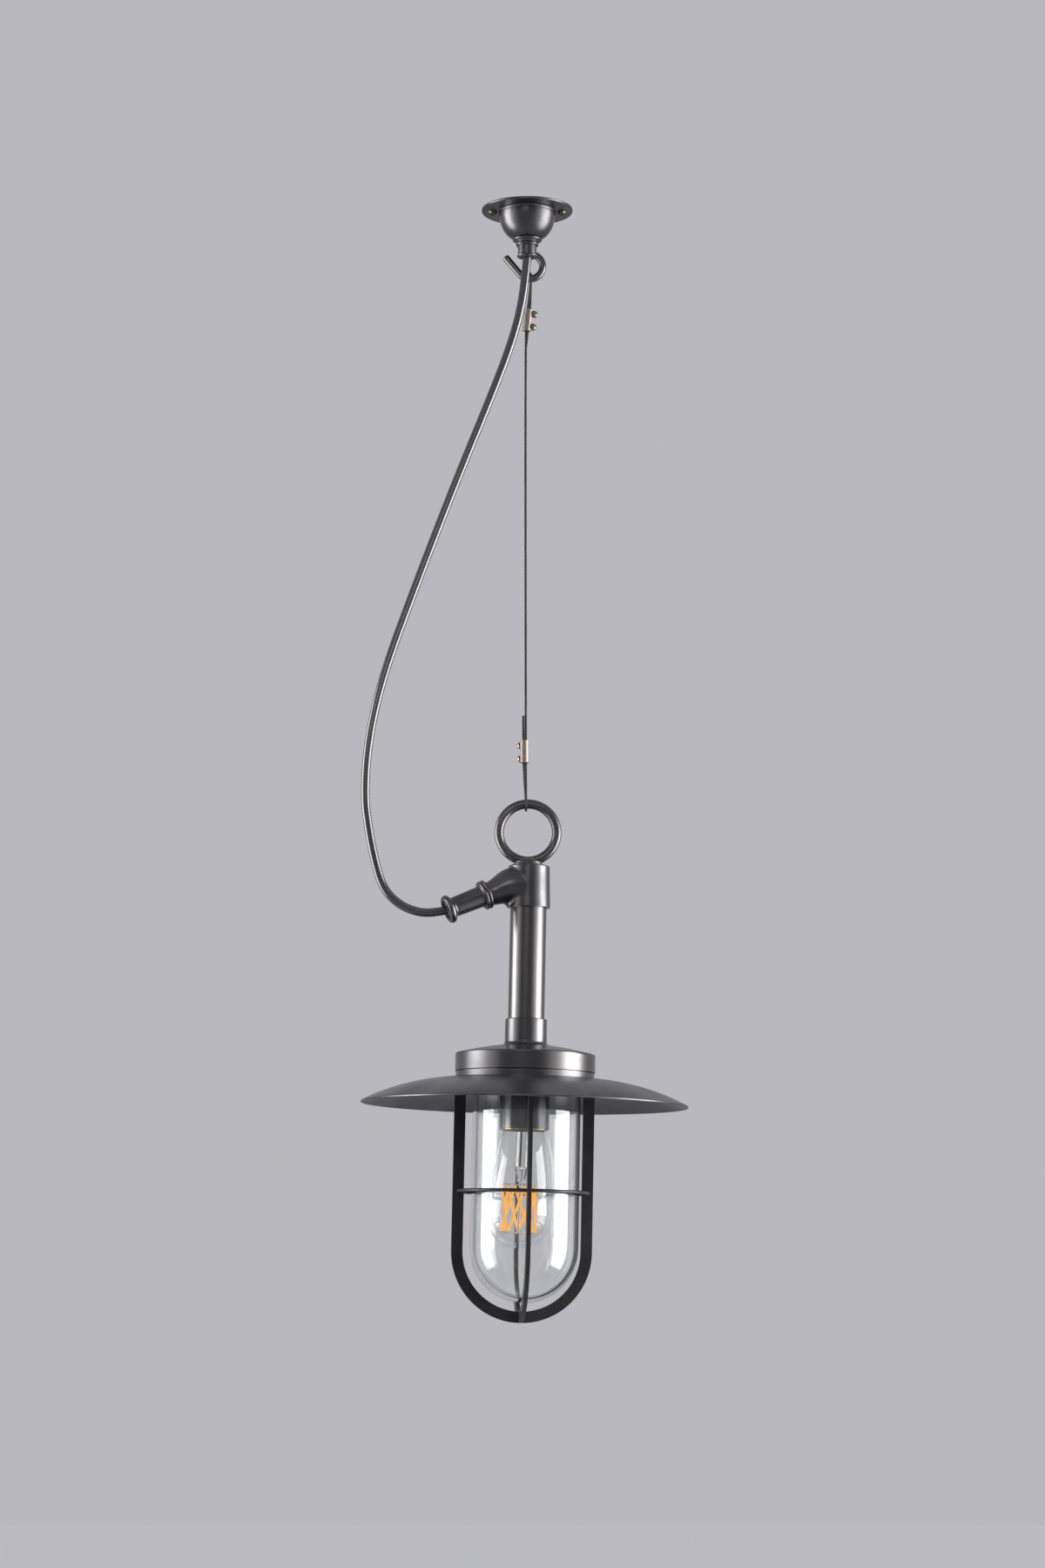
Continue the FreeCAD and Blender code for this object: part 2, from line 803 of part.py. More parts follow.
def make_ceiling_hook():
    body = new_body("ceiling_hook", hook_frame)
    reach = at.hook_bowl_radius + at.hook_bend_radius
    bend_level = -at.hook_bowl_drop + reach * sine(at.hook_join_angle)
    join = (at.hook_bowl_side + at.hook_bowl_radius * cosine(at.hook_join_angle),
            -at.hook_bowl_drop + at.hook_bowl_radius * sine(at.hook_join_angle))
    leave = (at.hook_bowl_side - at.hook_bowl_radius * sine(at.hook_arm_angle),
             -at.hook_bowl_drop - at.hook_bowl_radius * cosine(at.hook_arm_angle))
    tip = (leave[0] - at.hook_arm * cosine(at.hook_arm_angle),
           leave[1] + at.hook_arm * sine(at.hook_arm_angle))
    # The bowl runs from the bend, past the bottom, to where the arm leaves it.
    sweep = at.hook_join_angle + at.hook_arm_angle + 90.0
    top = -at.hook_stud_top
    path = new_sketch(body, "XZ_Plane", "ceiling_hook_path")
    draw(path, [
        (hook_shank_side(), top),
        (hook_shank_side(), bend_level, at.hook_bend_radius * (1.0 - cosine(at.hook_join_angle * 0.5))),
        (join[0], join[1], -(at.hook_bowl_radius * (1.0 - cosine(sweep * 0.5)))),
        (leave[0], leave[1]),
        tip,
    ], closed=False)
    section = new_sketch(body, "XY_Plane", "ceiling_hook_section", top)
    draw_circle(section, hook_shank_side(), 0, at.hook_rod)
    pipe = body.newObject("PartDesign::AdditivePipe", "ceiling_hook_bend")
    pipe.Profile = section
    pipe.Spine = path

    def at_tip(edge):
        return (edge.CenterOfMass - spot(tip[0], 0, tip[1])).Length < float(at.hook_rod) * 0.5

    round_edges(body, pipe, at_tip, at.hook_tip_round, "ceiling_hook_tip")
    return body


def hex_nut(name, place, width, height, bore):
    body = new_body(name, place)
    sketch = new_sketch(body, "XY_Plane", name + "_outline")
    draw(sketch, hexagon(width))
    draw_circle(sketch, 0, 0, bore)
    pad(body, sketch, height, name + "_pad")
    return body


def make_hook_nut():
    place = Placement(spot(hook_shank_side(), at.hook_plane, -at.rose_cavity_depth),
                      turn_about(z_axis, at.hook_nut_angle))
    return hex_nut("hook_nut", place, at.nut_width, at.nut_height, at.hook_rod + at.hook_hole_gap)


def make_rose_bush():
    bottom = -at.rose_neck_drop
    outer = at.rose_neck_bore - at.fit_gap
    inner = at.flex_radius + at.seat_gap
    return turned("rose_bush", at_origin, [
        (inner, bottom),
        (outer - at.bush_head * 0.4, bottom, at.bush_head * 0.1),
        (outer, bottom + at.bush_head),
        (outer, bottom + at.bush_height),
        (inner, bottom + at.bush_height),
    ])


def terminal_place():
    front = -(at.rose_neck_bore + at.terminal_wall + at.terminal_width)
    return spot(-at.terminal_length * 0.5, front, -at.rose_cavity_depth)


def make_terminal_block():
    block = part_object("Part::Box", "terminal_block_box", Placement(terminal_place(), Rotation()),
                        Length=at.terminal_length, Width=at.terminal_width, Height=at.terminal_height)
    holes = []
    for step in (-1, 0, 1):
        side = at.terminal_pitch * step
        corner = terminal_place()
        level = -at.rose_cavity_depth + at.terminal_height * terminal_depth_share
        entry = Placement(spot(side, corner.y - float(at.overrun), level), Rotation(x_axis, -90))
        holes.append(part_object("Part::Cylinder", "terminal_entry", entry,
                                 Radius=at.terminal_bore, Height=at.terminal_width + at.overrun * 2.0))
        middle = corner.y + float(at.terminal_width) / 2
        top = -at.rose_cavity_depth + at.terminal_height - at.terminal_screw_depth
        shaft = Placement(spot(side, middle, top), Rotation())
        holes.append(part_object("Part::Cylinder", "terminal_shaft", shaft, Radius=at.terminal_screw,
                                 Height=at.terminal_screw_depth + at.overrun))
    block = cut("terminal_block_cut", block, fused("terminal_holes", holes))
    block.Label = "terminal_block"
    return block


def make_terminal_screws():
    screws = []
    for step in (-1, 0, 1):
        middle = terminal_place().y + float(at.terminal_width) / 2
        level = -at.rose_cavity_depth + at.terminal_height - at.terminal_screw_depth
        place = Placement(spot(at.terminal_pitch * step, middle, level), Rotation())
        screws.append(part_object("Part::Cylinder", "terminal_screw", place,
                                  Radius=at.terminal_screw - at.fit_gap,
                                  Height=at.terminal_screw_depth * 0.8))
    return gather("terminal_screws", screws)


def gland_mouth():
    return branch_frame().multVec(spot(0, 0, at.branch_end + at.gland_length))


def flex_points():
    # From the neck's end to the gland's mouth, with the hand set bends between them.
    start = spot(0, 0, -at.rose_neck_drop)
    end = gland_mouth()
    span = end - start
    bow = float(at.flex_depth)
    between = [Vector(start.x + span.x * across, start.y + bow * depth, start.z + span.z * down)
               for across, depth, down in flex_shares]
    return [start] + between + [end]


def make_flex():
    points = flex_points()
    radii = free_radii(points)
    print("flex points:", [tuple(round(number, 1) for number in point) for point in points])
    print("flex radii:", ", ".join(f"{radius:.0f}" for radius in radii))
    return solid_from("flex", tube_along("flex", points, radii, float(at.flex_radius)))


def make_flex_rose_end():
    # The end of the flex that stands up through the bush to the terminal block.
    bottom = -at.rose_neck_drop + at.flex_end_gap
    length = at.rose_neck_drop - at.flex_end_gap - at.rose_cavity_depth * 0.62
    end = part_object("Part::Cylinder", "flex_rose_end_rod", Placement(spot(0, 0, bottom), Rotation()),
                      Radius=at.flex_radius, Height=length)
    end.Label = "flex_rose_end"
    return end


# Wire rope and clamps
def clamp_frame(side, drop, lean):
    return Placement(spot(side, at.hook_plane, -drop), turn_about(y_axis, lean))


hook_seat_drop = at.hook_bowl_drop + at.hook_bowl_radius
eye_seat_drop = at.eye_drop - at.eye_radius
upper_clamp_frame = clamp_frame(at.hook_bowl_side + at.upper_grip_shift, hook_seat_drop + at.upper_grip_fall,
                                at.upper_grip_lean_angle)
lower_clamp_frame = clamp_frame(at.eye_side + at.lower_grip_shift, eye_seat_drop - at.lower_grip_rise,
                                at.lower_grip_lean_angle)


def loop_points(side, drop, rod, upwards):
    # Round a rod, from the back leg to the front leg: four corners of a ring and a point on each leg.
    wrap = rod + at.running_gap + at.rope_radius
    half = wrap_turn / 2
    reach = float(wrap) / math.cos(math.radians(half))
    sign = 1 if upwards else -1
    first = wrap_start + half
    corners = []
    for step in range(4):
        angle = math.radians(first + wrap_turn * step)
        corners.append((reach * math.cos(angle), reach * math.sin(angle)))
    leg = float(at.rope_leg)
    lean = math.radians(wrap_start)
    back = (corners[0][0] + leg * math.sin(lean), corners[0][1] - leg * math.cos(lean))
    front = (corners[3][0] - leg * math.sin(lean), corners[3][1] - leg * math.cos(lean))
    return [spot(side, float(at.hook_plane) + across, -float(drop) + sign * rise)
            for across, rise in [back] + corners + [front]], float(wrap) * wrap_share


def make_wire_rope():
    strand = at.rope_radius + at.rope_strand_gap * 0.5
    half = at.grip_length * 0.5

    def in_clamp(frame, side, level, front=0):
        return frame.multVec(spot(strand * side, -as_size(front), level))

    upper_side = at.hook_bowl_side + at.rope_hook_shift
    lower_side = at.eye_side + at.rope_eye_shift
    upper_loop, hook_wrap = loop_points(upper_side, hook_seat_drop, at.hook_rod, True)
    lower_loop, eye_wrap = loop_points(lower_side, eye_seat_drop, at.eye_rod, False)
    # The upper tail ends in front of the long run.
    points = [in_clamp(upper_clamp_frame, 1.0, -(half + at.upper_tail), at.upper_tail_front),
              in_clamp(upper_clamp_frame, 1.0, -half), in_clamp(upper_clamp_frame, 1.0, half)]
    points += upper_loop
    points += [in_clamp(upper_clamp_frame, -1.0, half), in_clamp(upper_clamp_frame, -1.0, -half),
               in_clamp(lower_clamp_frame, 1.0, half), in_clamp(lower_clamp_frame, 1.0, -half)]
    points += reversed(lower_loop)
    points += [in_clamp(lower_clamp_frame, -1.0, -half),
               in_clamp(lower_clamp_frame, -1.0, half + at.lower_tail)]
    bend = float(at.rope_bend)
    radii = [bend, bend, bend] + [hook_wrap] * 4 + [bend] * 6 + [eye_wrap] * 4 + [bend, bend]
    print("rope points:", [tuple(round(number, 1) for number in point) for point in points])
    return solid_from("wire_rope", tube_along("wire_rope", points, radii, float(at.rope_radius)))


def make_clamp(name, frame, turn):
    # A barrel with one long hole for the two strands and two tapped holes in its side.
    body = new_body(name + "_barrel", frame)
    half = at.grip_length * 0.5
    edge = at.grip_edge
    revolve(body, [
        (as_size(0), -half),
        (at.grip_radius - edge, -half),
        (at.grip_radius, -half + edge),
        (at.grip_radius, half - edge),
        (at.grip_radius - edge, half),
        (as_size(0), half),
    ], name)
    hole = new_sketch(body, "XY_Plane", name + "_hole")
    strand = at.rope_radius + at.rope_strand_gap * 0.5
    reach = at.rope_radius + at.rope_strand_gap
    bulge = reach * quarter_share
    draw(hole, [
        (-strand, -reach),
        (strand, -reach, bulge),
        (strand + reach, as_size(0), bulge),
        (strand, reach),
        (-strand, reach, bulge),
        (-strand - reach, as_size(0), bulge),
    ])
    pocket_through(body, hole, name + "_hole_cut")
    holes = [part_object("Part::Cylinder", name + "_tapping",
                         clamp_screw_place(frame, at.grip_screw_pitch * side, turn),
                         Radius=at.grip_screw_shank + at.fit_gap, Height=at.grip_radius + at.seat_gap)
             for side in (-0.5, 0.5)]
    clamp = cut(name + "_cut", body, fused(name + "_tappings", holes))
    clamp.Label = name
    return clamp


def clamp_screw_place(frame, level, turn):
    seat = at.grip_radius + at.seat_gap
    return frame * turned_by(z_axis, turn) * Placement(spot(seat, 0, level), Rotation(y_axis, -90))


def make_clamp_screws(name, frame, turn):
    strand = at.rope_radius * 2.0 + at.rope_strand_gap * 2.0
    length = at.grip_radius - strand + at.seat_gap
    screws = []
    for side in (-0.5, 0.5):
        place = clamp_screw_place(frame, at.grip_screw_pitch * side, turn)
        screws.append(round_head_screw(
            f"{name}_one", place, at.grip_screw_head, at.grip_screw_head_height,
            at.grip_screw_shank, length, length * 0.2))
    return gather(name, screws)


# Lifting eye and entry cap
def make_lifting_eye():
    ring = part_object("Part::Torus", "eye_ring", eye_frame * turned_by(x_axis, 90),
                       Radius1=at.eye_radius, Radius2=at.eye_rod)
    base = cap_top
    foot = turned("eye_foot", eye_foot_frame, [
        (as_size(0), base - at.eye_stud_length),
        (at.eye_stud_radius, base - at.eye_stud_length),
        (at.eye_stud_radius, base),
        (at.eye_foot_radius, base),
        (at.eye_foot_radius, base + at.eye_foot_rim, -at.eye_foot_rim),
        (at.eye_foot_waist, base + at.eye_foot_waist_rise, at.eye_foot_rim),
        (at.eye_foot_neck, base + at.eye_foot_height),
        (as_size(0), base + at.eye_foot_height),
    ])
    eye = fused("lifting_eye_fused", [ring, foot])
    eye.Label = "lifting_eye"
    return eye


cap_frame = lamp_frame * turned_by(z_axis, at.branch_turn_angle)


def branch_way(lean_share):
    lean = math.radians(float(at.branch_angle)) * lean_share
    return Rotation(z_axis, Vector(-math.cos(lean), 0, -math.sin(lean)))


def branch_frame():
    return cap_frame * Placement(spot(0, 0, branch_level), branch_way(1))


def make_cap_web():
    # Round sections that grow from the bead to nearly the height of the cap.
    bead_start = at.branch_end - at.branch_bead
    reach = bead_start * cosine(at.branch_angle)
    middle = cap_top - at.cap_height * 0.5
    fall = branch_level - bead_start * sine(at.branch_angle) - middle
    root_radius = at.cap_height * 0.5 - at.branch_web_edge
    sections = []
    for out_share, fall_share, taper_share, lean_share in web_shares:
        centre = spot(-(reach * out_share), 0, middle + fall * fall_share)
        radius = root_radius + (at.branch_end_radius - root_radius) * taper_share
        sections.append(part_object("Part::Circle", "cap_web_section",
                                    cap_frame * Placement(centre, branch_way(lean_share)), Radius=radius))
    web = doc.addObject("Part::Loft", "cap_web")
    web.Sections = sections
    web.Solid = True
    return web


def round_cap_joint(casting):
    # A fillet along the line where the web leaves the barrel.
    doc.recompute()
    to_cap = cap_frame.inverse()
    limit = float(at.cap_bottom_radius + at.overrun)

    def at_joint(edge):
        if edge.Curve.TypeId != "Part::GeomBSplineCurve":
            return False
        ends = [to_cap.multVec(vertex.Point) for vertex in edge.Vertexes]
        return all(math.hypot(end.x, end.y) < limit for end in ends)

    radius = float(at.branch_fillet)
    fillet = doc.addObject("Part::Fillet", "cap_fillet")
    fillet.Base = casting
    fillet.Edges = [(index, radius, radius) for index, edge in enumerate(casting.Shape.Edges, start=1)
                    if at_joint(edge)]
    return fillet


def make_entry_cap():
    # The barrel, the web and the bead are one casting.
    barrel = turned("cap_barrel", cap_frame, [
        (as_size(0), cap_bottom),
        (at.cap_bottom_radius, cap_bottom),
        (at.cap_top_radius, cap_top - at.cap_top_round, at.cap_top_round * 0.4),
        (at.cap_top_radius - at.cap_top_round, cap_top),
        (as_size(0), cap_top),
    ])
    bead_start = at.branch_end - at.branch_bead
    bead_root = at.branch_bead_radius - at.branch_bead_rise
    bead = turned("cap_bead", branch_frame(), [
        (as_size(0), bead_start),
        (bead_root, bead_start, at.branch_bead_rise),
        (bead_root, at.branch_end),
        (as_size(0), at.branch_end),
    ])
    casting = round_cap_joint(fused("cap_casting", [barrel, make_cap_web(), bead]))
    hollow_top = cap_top - at.cap_roof
    socket_top = cap_bottom + at.cap_socket_depth
    socket_radius = at.stem_radius + at.fit_gap
    hollow = turned("cap_hollow", lamp_frame, [
        (as_size(0), cap_bottom - at.overrun),
        (socket_radius, cap_bottom - at.overrun),
        (socket_radius, socket_top),
        (at.cap_hollow_radius, socket_top),
        (at.cap_hollow_radius, hollow_top),
        (as_size(0), hollow_top),
    ])
    bore = part_object("Part::Cylinder", "cap_branch_bore", branch_frame(),
                       Radius=at.branch_bore, Height=at.branch_end + at.overrun)
    stud_hole = part_object("Part::Cylinder", "cap_stud_hole",
                            eye_foot_frame * Placement(spot(0, 0, hollow_top - at.overrun), Rotation()),
                            Radius=at.eye_stud_radius + at.fit_gap, Height=at.cap_roof + at.overrun * 2.0)
    cap = cut("entry_cap_cut", casting, fused("cap_holes", [hollow, bore, stud_hole]))
    cap.Label = "entry_cap"
    return cap


def make_gland_body():
    start = at.branch_end
    end = start + at.gland_length
    bead_end = start + at.gland_bead
    ring_start = end - at.gland_ring
    spigot = start - at.gland_spigot_length
    spigot_radius = at.branch_bore - at.fit_gap
    mouth = end - at.gland_mouth_depth
    bead_root = at.gland_bead_radius - at.gland_bead_rise
    ring_root = at.gland_ring_radius - at.gland_ring_rise
    return turned("gland_body", branch_frame(), [
        (at.gland_bore, spigot),
        (spigot_radius, spigot),
        (spigot_radius, start),
        (bead_root, start, at.gland_bead_rise),
        (bead_root, bead_end),
        (at.gland_root_radius + at.gland_bead * 0.3, bead_end, -at.gland_bead * 0.1),
        (at.gland_root_radius, bead_end + at.gland_bead * 0.4),
        (at.gland_tip_radius, ring_start - at.gland_flare, -at.gland_flare * 0.15),
        (ring_root, ring_start, at.gland_ring_rise),
        (ring_root, end),
        (at.gland_mouth_radius, end),
        (at.gland_mouth_radius, mouth),
        (at.gland_bore, mouth),
    ])


def make_gland_seal():
    end = at.branch_end + at.gland_length
    mouth = end - at.gland_mouth_depth
    inner = at.flex_radius + at.seat_gap
    outer = at.gland_mouth_radius - at.fit_gap
    top = mouth + at.gland_seal_height
    return turned("gland_seal", branch_frame(), [
        (inner, mouth),
        (outer, mouth),
        (outer, top),
        (inner, top),
    ])


def make_gland_washer():
    end = at.branch_end + at.gland_length
    floor = end - at.gland_mouth_depth + at.gland_seal_height
    outer = at.gland_mouth_radius - at.fit_gap
    return turned("gland_washer", branch_frame(), [
        (at.gland_washer_radius, floor),
        (outer, floor),
        (outer, floor + at.gland_washer),
        (at.gland_washer_radius, floor + at.gland_washer),
    ])


def make_flex_lamp_end():
    # The flex inside the gland, the entry cap and the stem, down to the lampholder.
    start = branch_frame().multVec(spot(0, 0, at.branch_end + at.gland_length - at.gland_flex_gap))
    elbow = lamp_frame.multVec(spot(0, 0, branch_level))
    lower = lamp_frame.multVec(spot(0, 0, web_top + at.nipple_top))
    radii = [float(at.flex_radius) * flex_bend_share]
    return solid_from("flex_lamp_end", tube_along("flex_lamp_end", [start, elbow, lower], radii,
                                                  float(at.flex_radius)))


# Stem and gallery
def make_stem_tube():
    inner = at.stem_radius - at.stem_wall
    top = cap_bottom + at.cap_socket_depth
    bottom = web_top
    return turned("stem_tube", lamp_frame, [
        (inner, bottom),
        (at.stem_radius, bottom),
        (at.stem_radius, top),
        (inner, top),
    ])


def make_gallery():
    socket_radius = at.stem_radius + at.fit_gap
    seat_inner = at.jar_radius - at.gallery_seat_reach
    return turned("gallery", lamp_frame, [
        (skirt_bore, dish_bottom),
        (dish_radius, dish_bottom),
        (dish_radius, dish_edge_level - at.dish_edge, at.dish_edge * 0.41),
        (dish_radius - at.dish_edge, dish_edge_level, at.dish_bulge),
        (at.collar_radius + at.collar_foot, dish_shoulder, -at.collar_foot * 0.35),
        (at.collar_radius, collar_bottom),
        (at.collar_radius, collar_top - at.collar_edge),
        (at.collar_radius - at.collar_edge, collar_top),
        (socket_radius, collar_top),
        (socket_radius, web_top),
        (at.nipple_radius + at.fit_gap, web_top),
        (at.nipple_radius + at.fit_gap, web_bottom),
        (seat_inner - at.gallery_throat_step, web_bottom),
        (seat_inner, gallery_seat),
        (skirt_bore, gallery_seat),
    ])


# Lampholder
def make_lampholder_nipple():
    top = web_top + at.nipple_top
    bottom = core_top - at.core_shoulder * 0.6
    return turned("lampholder_nipple", lamp_frame, [
        (at.nipple_bore, bottom),
        (at.nipple_radius, bottom),
        (at.nipple_radius, top),
        (at.nipple_bore, top),
    ])


def make_lampholder_nuts():
    upper = hex_nut("nipple_nut_upper", lamp_frame * Placement(spot(0, 0, web_top), Rotation()),
                    at.nipple_radius * 3.0, at.nut_height, at.nipple_radius + at.fit_gap)
    lower_level = web_bottom - at.nut_height
    lower = hex_nut("nipple_nut_lower", lamp_frame * Placement(spot(0, 0, lower_level), Rotation()),
                    at.nipple_radius * 3.0, at.nut_height, at.nipple_radius + at.fit_gap)
    return gather("lampholder_nuts", [upper, lower])


def make_lampholder_shell():
    inner = at.shell_radius - at.shell_wall
    shoulder = at.shell_shoulder
    bend = shoulder * 0.414
    inner_bend = (shoulder - at.shell_wall) * 0.414
    return turned("lampholder_shell", lamp_frame, [
        (inner, shell_bottom),
        (at.shell_radius, shell_bottom),
        (at.shell_radius, shell_top - shoulder, bend * 0.7),
        (at.shell_radius - shoulder, shell_top),
        (at.nipple_radius + at.fit_gap, shell_top),
        (at.nipple_radius + at.fit_gap, shell_top - at.shell_wall),
        (at.shell_radius - shoulder, shell_top - at.shell_wall, -inner_bend * 0.7),
        (inner, shell_top - shoulder),
    ])


def make_lampholder_core():
    shoulder = core_top - at.core_shoulder
    return turned("lampholder_core", lamp_frame, [
        (at.sleeve_radius + at.fit_gap, core_bottom),
        (at.core_radius, core_bottom),
        (at.core_radius, shoulder),
        (at.core_radius * 0.55, core_top),
        (at.nipple_radius + at.fit_gap, core_top),
        (at.nipple_radius + at.fit_gap, shoulder),
        (at.nipple_bore, shoulder),
        (at.nipple_bore, core_roof_level),
        (at.sleeve_radius + at.fit_gap, core_roof_level),
    ])


def make_lampholder_thread():
    inner = at.sleeve_radius - at.sleeve_wall
    flange_end = core_bottom - at.sleeve_flange_height
    return turned("lampholder_thread", lamp_frame, [
        (inner, flange_end),
        (at.sleeve_flange, flange_end),
        (at.sleeve_flange, core_bottom),
        (at.sleeve_radius, core_bottom),
        (at.sleeve_radius, core_roof_level),
        (inner, core_roof_level),
    ])


def make_lampholder_contact():
    top = core_roof_level
    bottom = bulb_top + at.running_gap
    return turned("lampholder_contact", lamp_frame, [
        (as_size(0), bottom),
        (at.bulb_tip_radius, bottom),
        (at.contact_radius, top),
        (as_size(0), top),
    ])


def make_lampholder_skirt():
    outer = at.shell_radius - at.shell_wall - at.fit_gap
    bottom = shell_bottom - at.skirt_show
    return turned("lampholder_skirt", lamp_frame, [
        (outer - at.skirt_wall, bottom),
        (outer, bottom),
        (outer, bottom + at.skirt_height),
        (outer - at.skirt_wall, bottom + at.skirt_height),
    ])


# Glass
def make_glass_gasket():
    top = gallery_seat - at.seat_gap
    inner = jar_bore + at.gasket_step
    return turned("glass_gasket", jar_frame, [
        (inner, jar_top),
        (jar_rim_radius, jar_top),
        (jar_rim_radius, top),
        (inner, top),
    ])


def make_glass_jar():
    edge = at.jar_rim_round
    return turned("glass_jar", jar_frame, [
        (as_size(0), jar_centre - at.jar_radius, at.jar_radius * quarter_share),
        (at.jar_radius, jar_centre),
        (at.jar_radius, jar_ledge - edge, -edge * 0.4),
        (at.jar_radius + edge, jar_ledge),
        (jar_rim_radius - edge, jar_ledge, edge * 0.4),
        (jar_rim_radius, jar_ledge + edge),
        (jar_rim_radius, jar_top),
        (jar_bore, jar_top),
        (jar_bore, jar_centre, -(jar_bore * quarter_share)),
        (as_size(0), jar_centre - jar_bore),
    ])


# Retaining ring, shade and guard
def make_retaining_ring():
    outer = dish_radius - at.ring_step
    ledge = jar_ledge - at.seat_gap
    thread_top = ring_top + at.ring_thread
    body = turned("retaining_ring", guard_frame, [
        (ring_bore, ring_bottom),
        (outer, ring_bottom),
        (outer, ring_top - at.ring_edge),
        (outer - at.ring_edge, ring_top),
        (ring_thread_radius, ring_top),
        (ring_thread_radius, thread_top),
        (ring_inner, thread_top),
        (ring_inner, ledge),
        (ring_bore, ledge),
    ])
    holes = new_sketch(body, "XY_Plane", "retaining_ring_holes", ring_bottom)
    draw_screw_circle(holes, at.guard_screw_shank + at.fit_gap)
    pocket_deep(body, holes, at.guard_screw_depth, "retaining_ring_drilling", True)
    return body


def guard_screw_spots():
    step = 360 / guard_screw_count
    circle = ring_bore + at.guard_screw_reach
    for index in range(guard_screw_count):
        angle = math.radians(step * (index + 0.5))
        yield circle * math.cos(angle), circle * math.sin(angle)


def draw_screw_circle(sketch, radius):
    for across, along in guard_screw_spots():
        draw_circle(sketch, across, along, radius)


def make_shade():
    # Spun sheet: a flat hub, then one long curve to a turned rim.
    sheet_thick = at.shade_sheet
    body = turned("shade", guard_frame, [
        (ring_bore + at.running_gap, shade_bottom),
        (shade_hub, shade_bottom, -at.shade_bulge),
        (at.shade_radius - at.shade_lip, shade_rim - sheet_thick * 0.5, at.shade_lip * 0.4),
        (at.shade_radius - at.shade_lip, shade_rim + sheet_thick * 0.5, at.shade_bulge),
        (shade_hub, ring_bottom),
        (ring_bore + at.running_gap, ring_bottom),
    ])
    holes = new_sketch(body, "XY_Plane", "shade_holes")
    draw_screw_circle(holes, at.guard_screw_shank + at.fit_gap)
    pocket_through(body, holes, "shade_drilling")
    return body


def make_guard_flange():
    body = turned("guard_flange", guard_frame, [
        (ring_bore + at.running_gap, flange_bottom),
        (guard_inner + at.guard_flange_reach, flange_bottom),
        (guard_inner + at.guard_flange_reach, shade_bottom),
        (ring_bore + at.running_gap, shade_bottom),
    ])
    holes = new_sketch(body, "XY_Plane", "guard_flange_holes")
    draw_screw_circle(holes, at.guard_screw_shank + at.fit_gap)
    pocket_through(body, holes, "guard_flange_drilling")
    return body


def make_guard_screws():
    length = at.guard_flange + at.shade_sheet + at.guard_screw_depth
    screws = []
    for across, along in guard_screw_spots():
        place = guard_frame * Placement(spot(across, along, flange_bottom), Rotation())
        screws.append(round_head_screw(
            "guard_screw", place, at.guard_screw_head, at.guard_screw_head_height,
            at.guard_screw_shank, length, at.guard_screw_shank))
    return gather("guard_screws", screws)


def make_guard_strap(name, quarter_turn, notch_up):
    # A flat bar bent on edge into a U. The two bars are half lapped where they cross.
    place = guard_frame * turned_by(z_axis, quarter_turn)
    body = new_body(name + "_bar", place)
    sketch = new_sketch(body, "XZ_Plane", name + "_outline")
    outer = guard_radius
    inner = guard_inner
    outer_bulge = outer * quarter_share
    inner_bulge = -(inner * quarter_share)
    draw(sketch, [
        (-outer, flange_bottom),
        (-outer, guard_centre, outer_bulge),
        (as_size(0), guard_centre - outer, outer_bulge),
        (outer, guard_centre),
        (outer, flange_bottom),
        (inner, flange_bottom),
        (inner, guard_centre, inner_bulge),
        (as_size(0), guard_centre - inner, inner_bulge),
        (-inner, guard_centre),
        (-inner, flange_bottom),
    ])
    pad(body, sketch, at.guard_thick, name + "_pad", both=True)
    lap = new_sketch(body, "XZ_Plane", name + "_lap")
    half = at.guard_thick * 0.5
    middle = guard_centre - outer + at.guard_depth * 0.5
    top = guard_centre - inner + at.overrun
    bottom = guard_centre - outer - at.overrun
    low, high = (middle, top) if notch_up else (bottom, middle)
    draw(lap, [(-half, low), (half, low), (half, high), (-half, high)])
    pocket_through(body, lap, name + "_lap_cut")
    hole = part_object("Part::Torus", name + "_ring_hole", guard_ring_place(), Radius1=guard_ring_radius,
                       Radius2=at.guard_ring_wire + at.fit_gap)
    strap = cut(name + "_cut", body, hole)
    strap.Label = name
    return strap


def guard_ring_place():
    return guard_frame * Placement(spot(0, 0, guard_ring_level), Rotation())


def make_guard_ring():
    ring = part_object("Part::Torus", "guard_ring_torus", guard_ring_place(), Radius1=guard_ring_radius,
                       Radius2=at.guard_ring_wire)
    ring.Label = "guard_ring"
    return ring


# Bulb
def make_bulb_contact():
    bottom = bulb_top - at.bulb_tip_height
    return turned("bulb_contact", lamp_frame, [
        (as_size(0), bottom),
        (at.bulb_tip_radius, bottom),
        (at.bulb_tip_radius, bulb_top - at.bulb_tip_height * 0.6, at.bulb_tip_height * 0.15),
        (at.bulb_tip_radius * 0.4, bulb_top),
        (as_size(0), bulb_top),
    ])


def make_bulb_insulator():
    top = bulb_top - at.bulb_tip_height
    return turned("bulb_insulator", lamp_frame, [
        (as_size(0), bulb_cap_top),
        (at.insulator_radius, bulb_cap_top),
        (at.bulb_tip_radius, top),
        (as_size(0), top),
    ])


def make_bulb_cap():
    # Thread turns as round ridges on the cap's side.
    crest = at.bulb_cap_crest
    root = crest - at.bulb_cap_groove
    pitch = at.bulb_thread_pitch
    inner = root - at.bulb_cap_wall
    turns = bulb_thread_count
    outline = [(inner, bulb_cap_bottom), (root, bulb_cap_bottom)]
    first = bulb_cap_bottom + pitch * 0.35
    for index in range(turns):
        start = first + pitch * index
        outline.append((root, start, at.bulb_cap_groove))
    outline.append((root, first + pitch * turns))
    outline.append((at.insulator_radius, bulb_cap_top))
    outline.append((at.insulator_radius - at.bulb_cap_wall, bulb_cap_top))
    outline.append((inner, bulb_cap_top - at.bulb_cap_groove * 2.0 - at.insulator_height))
    return turned("bulb_cap", lamp_frame, outline)


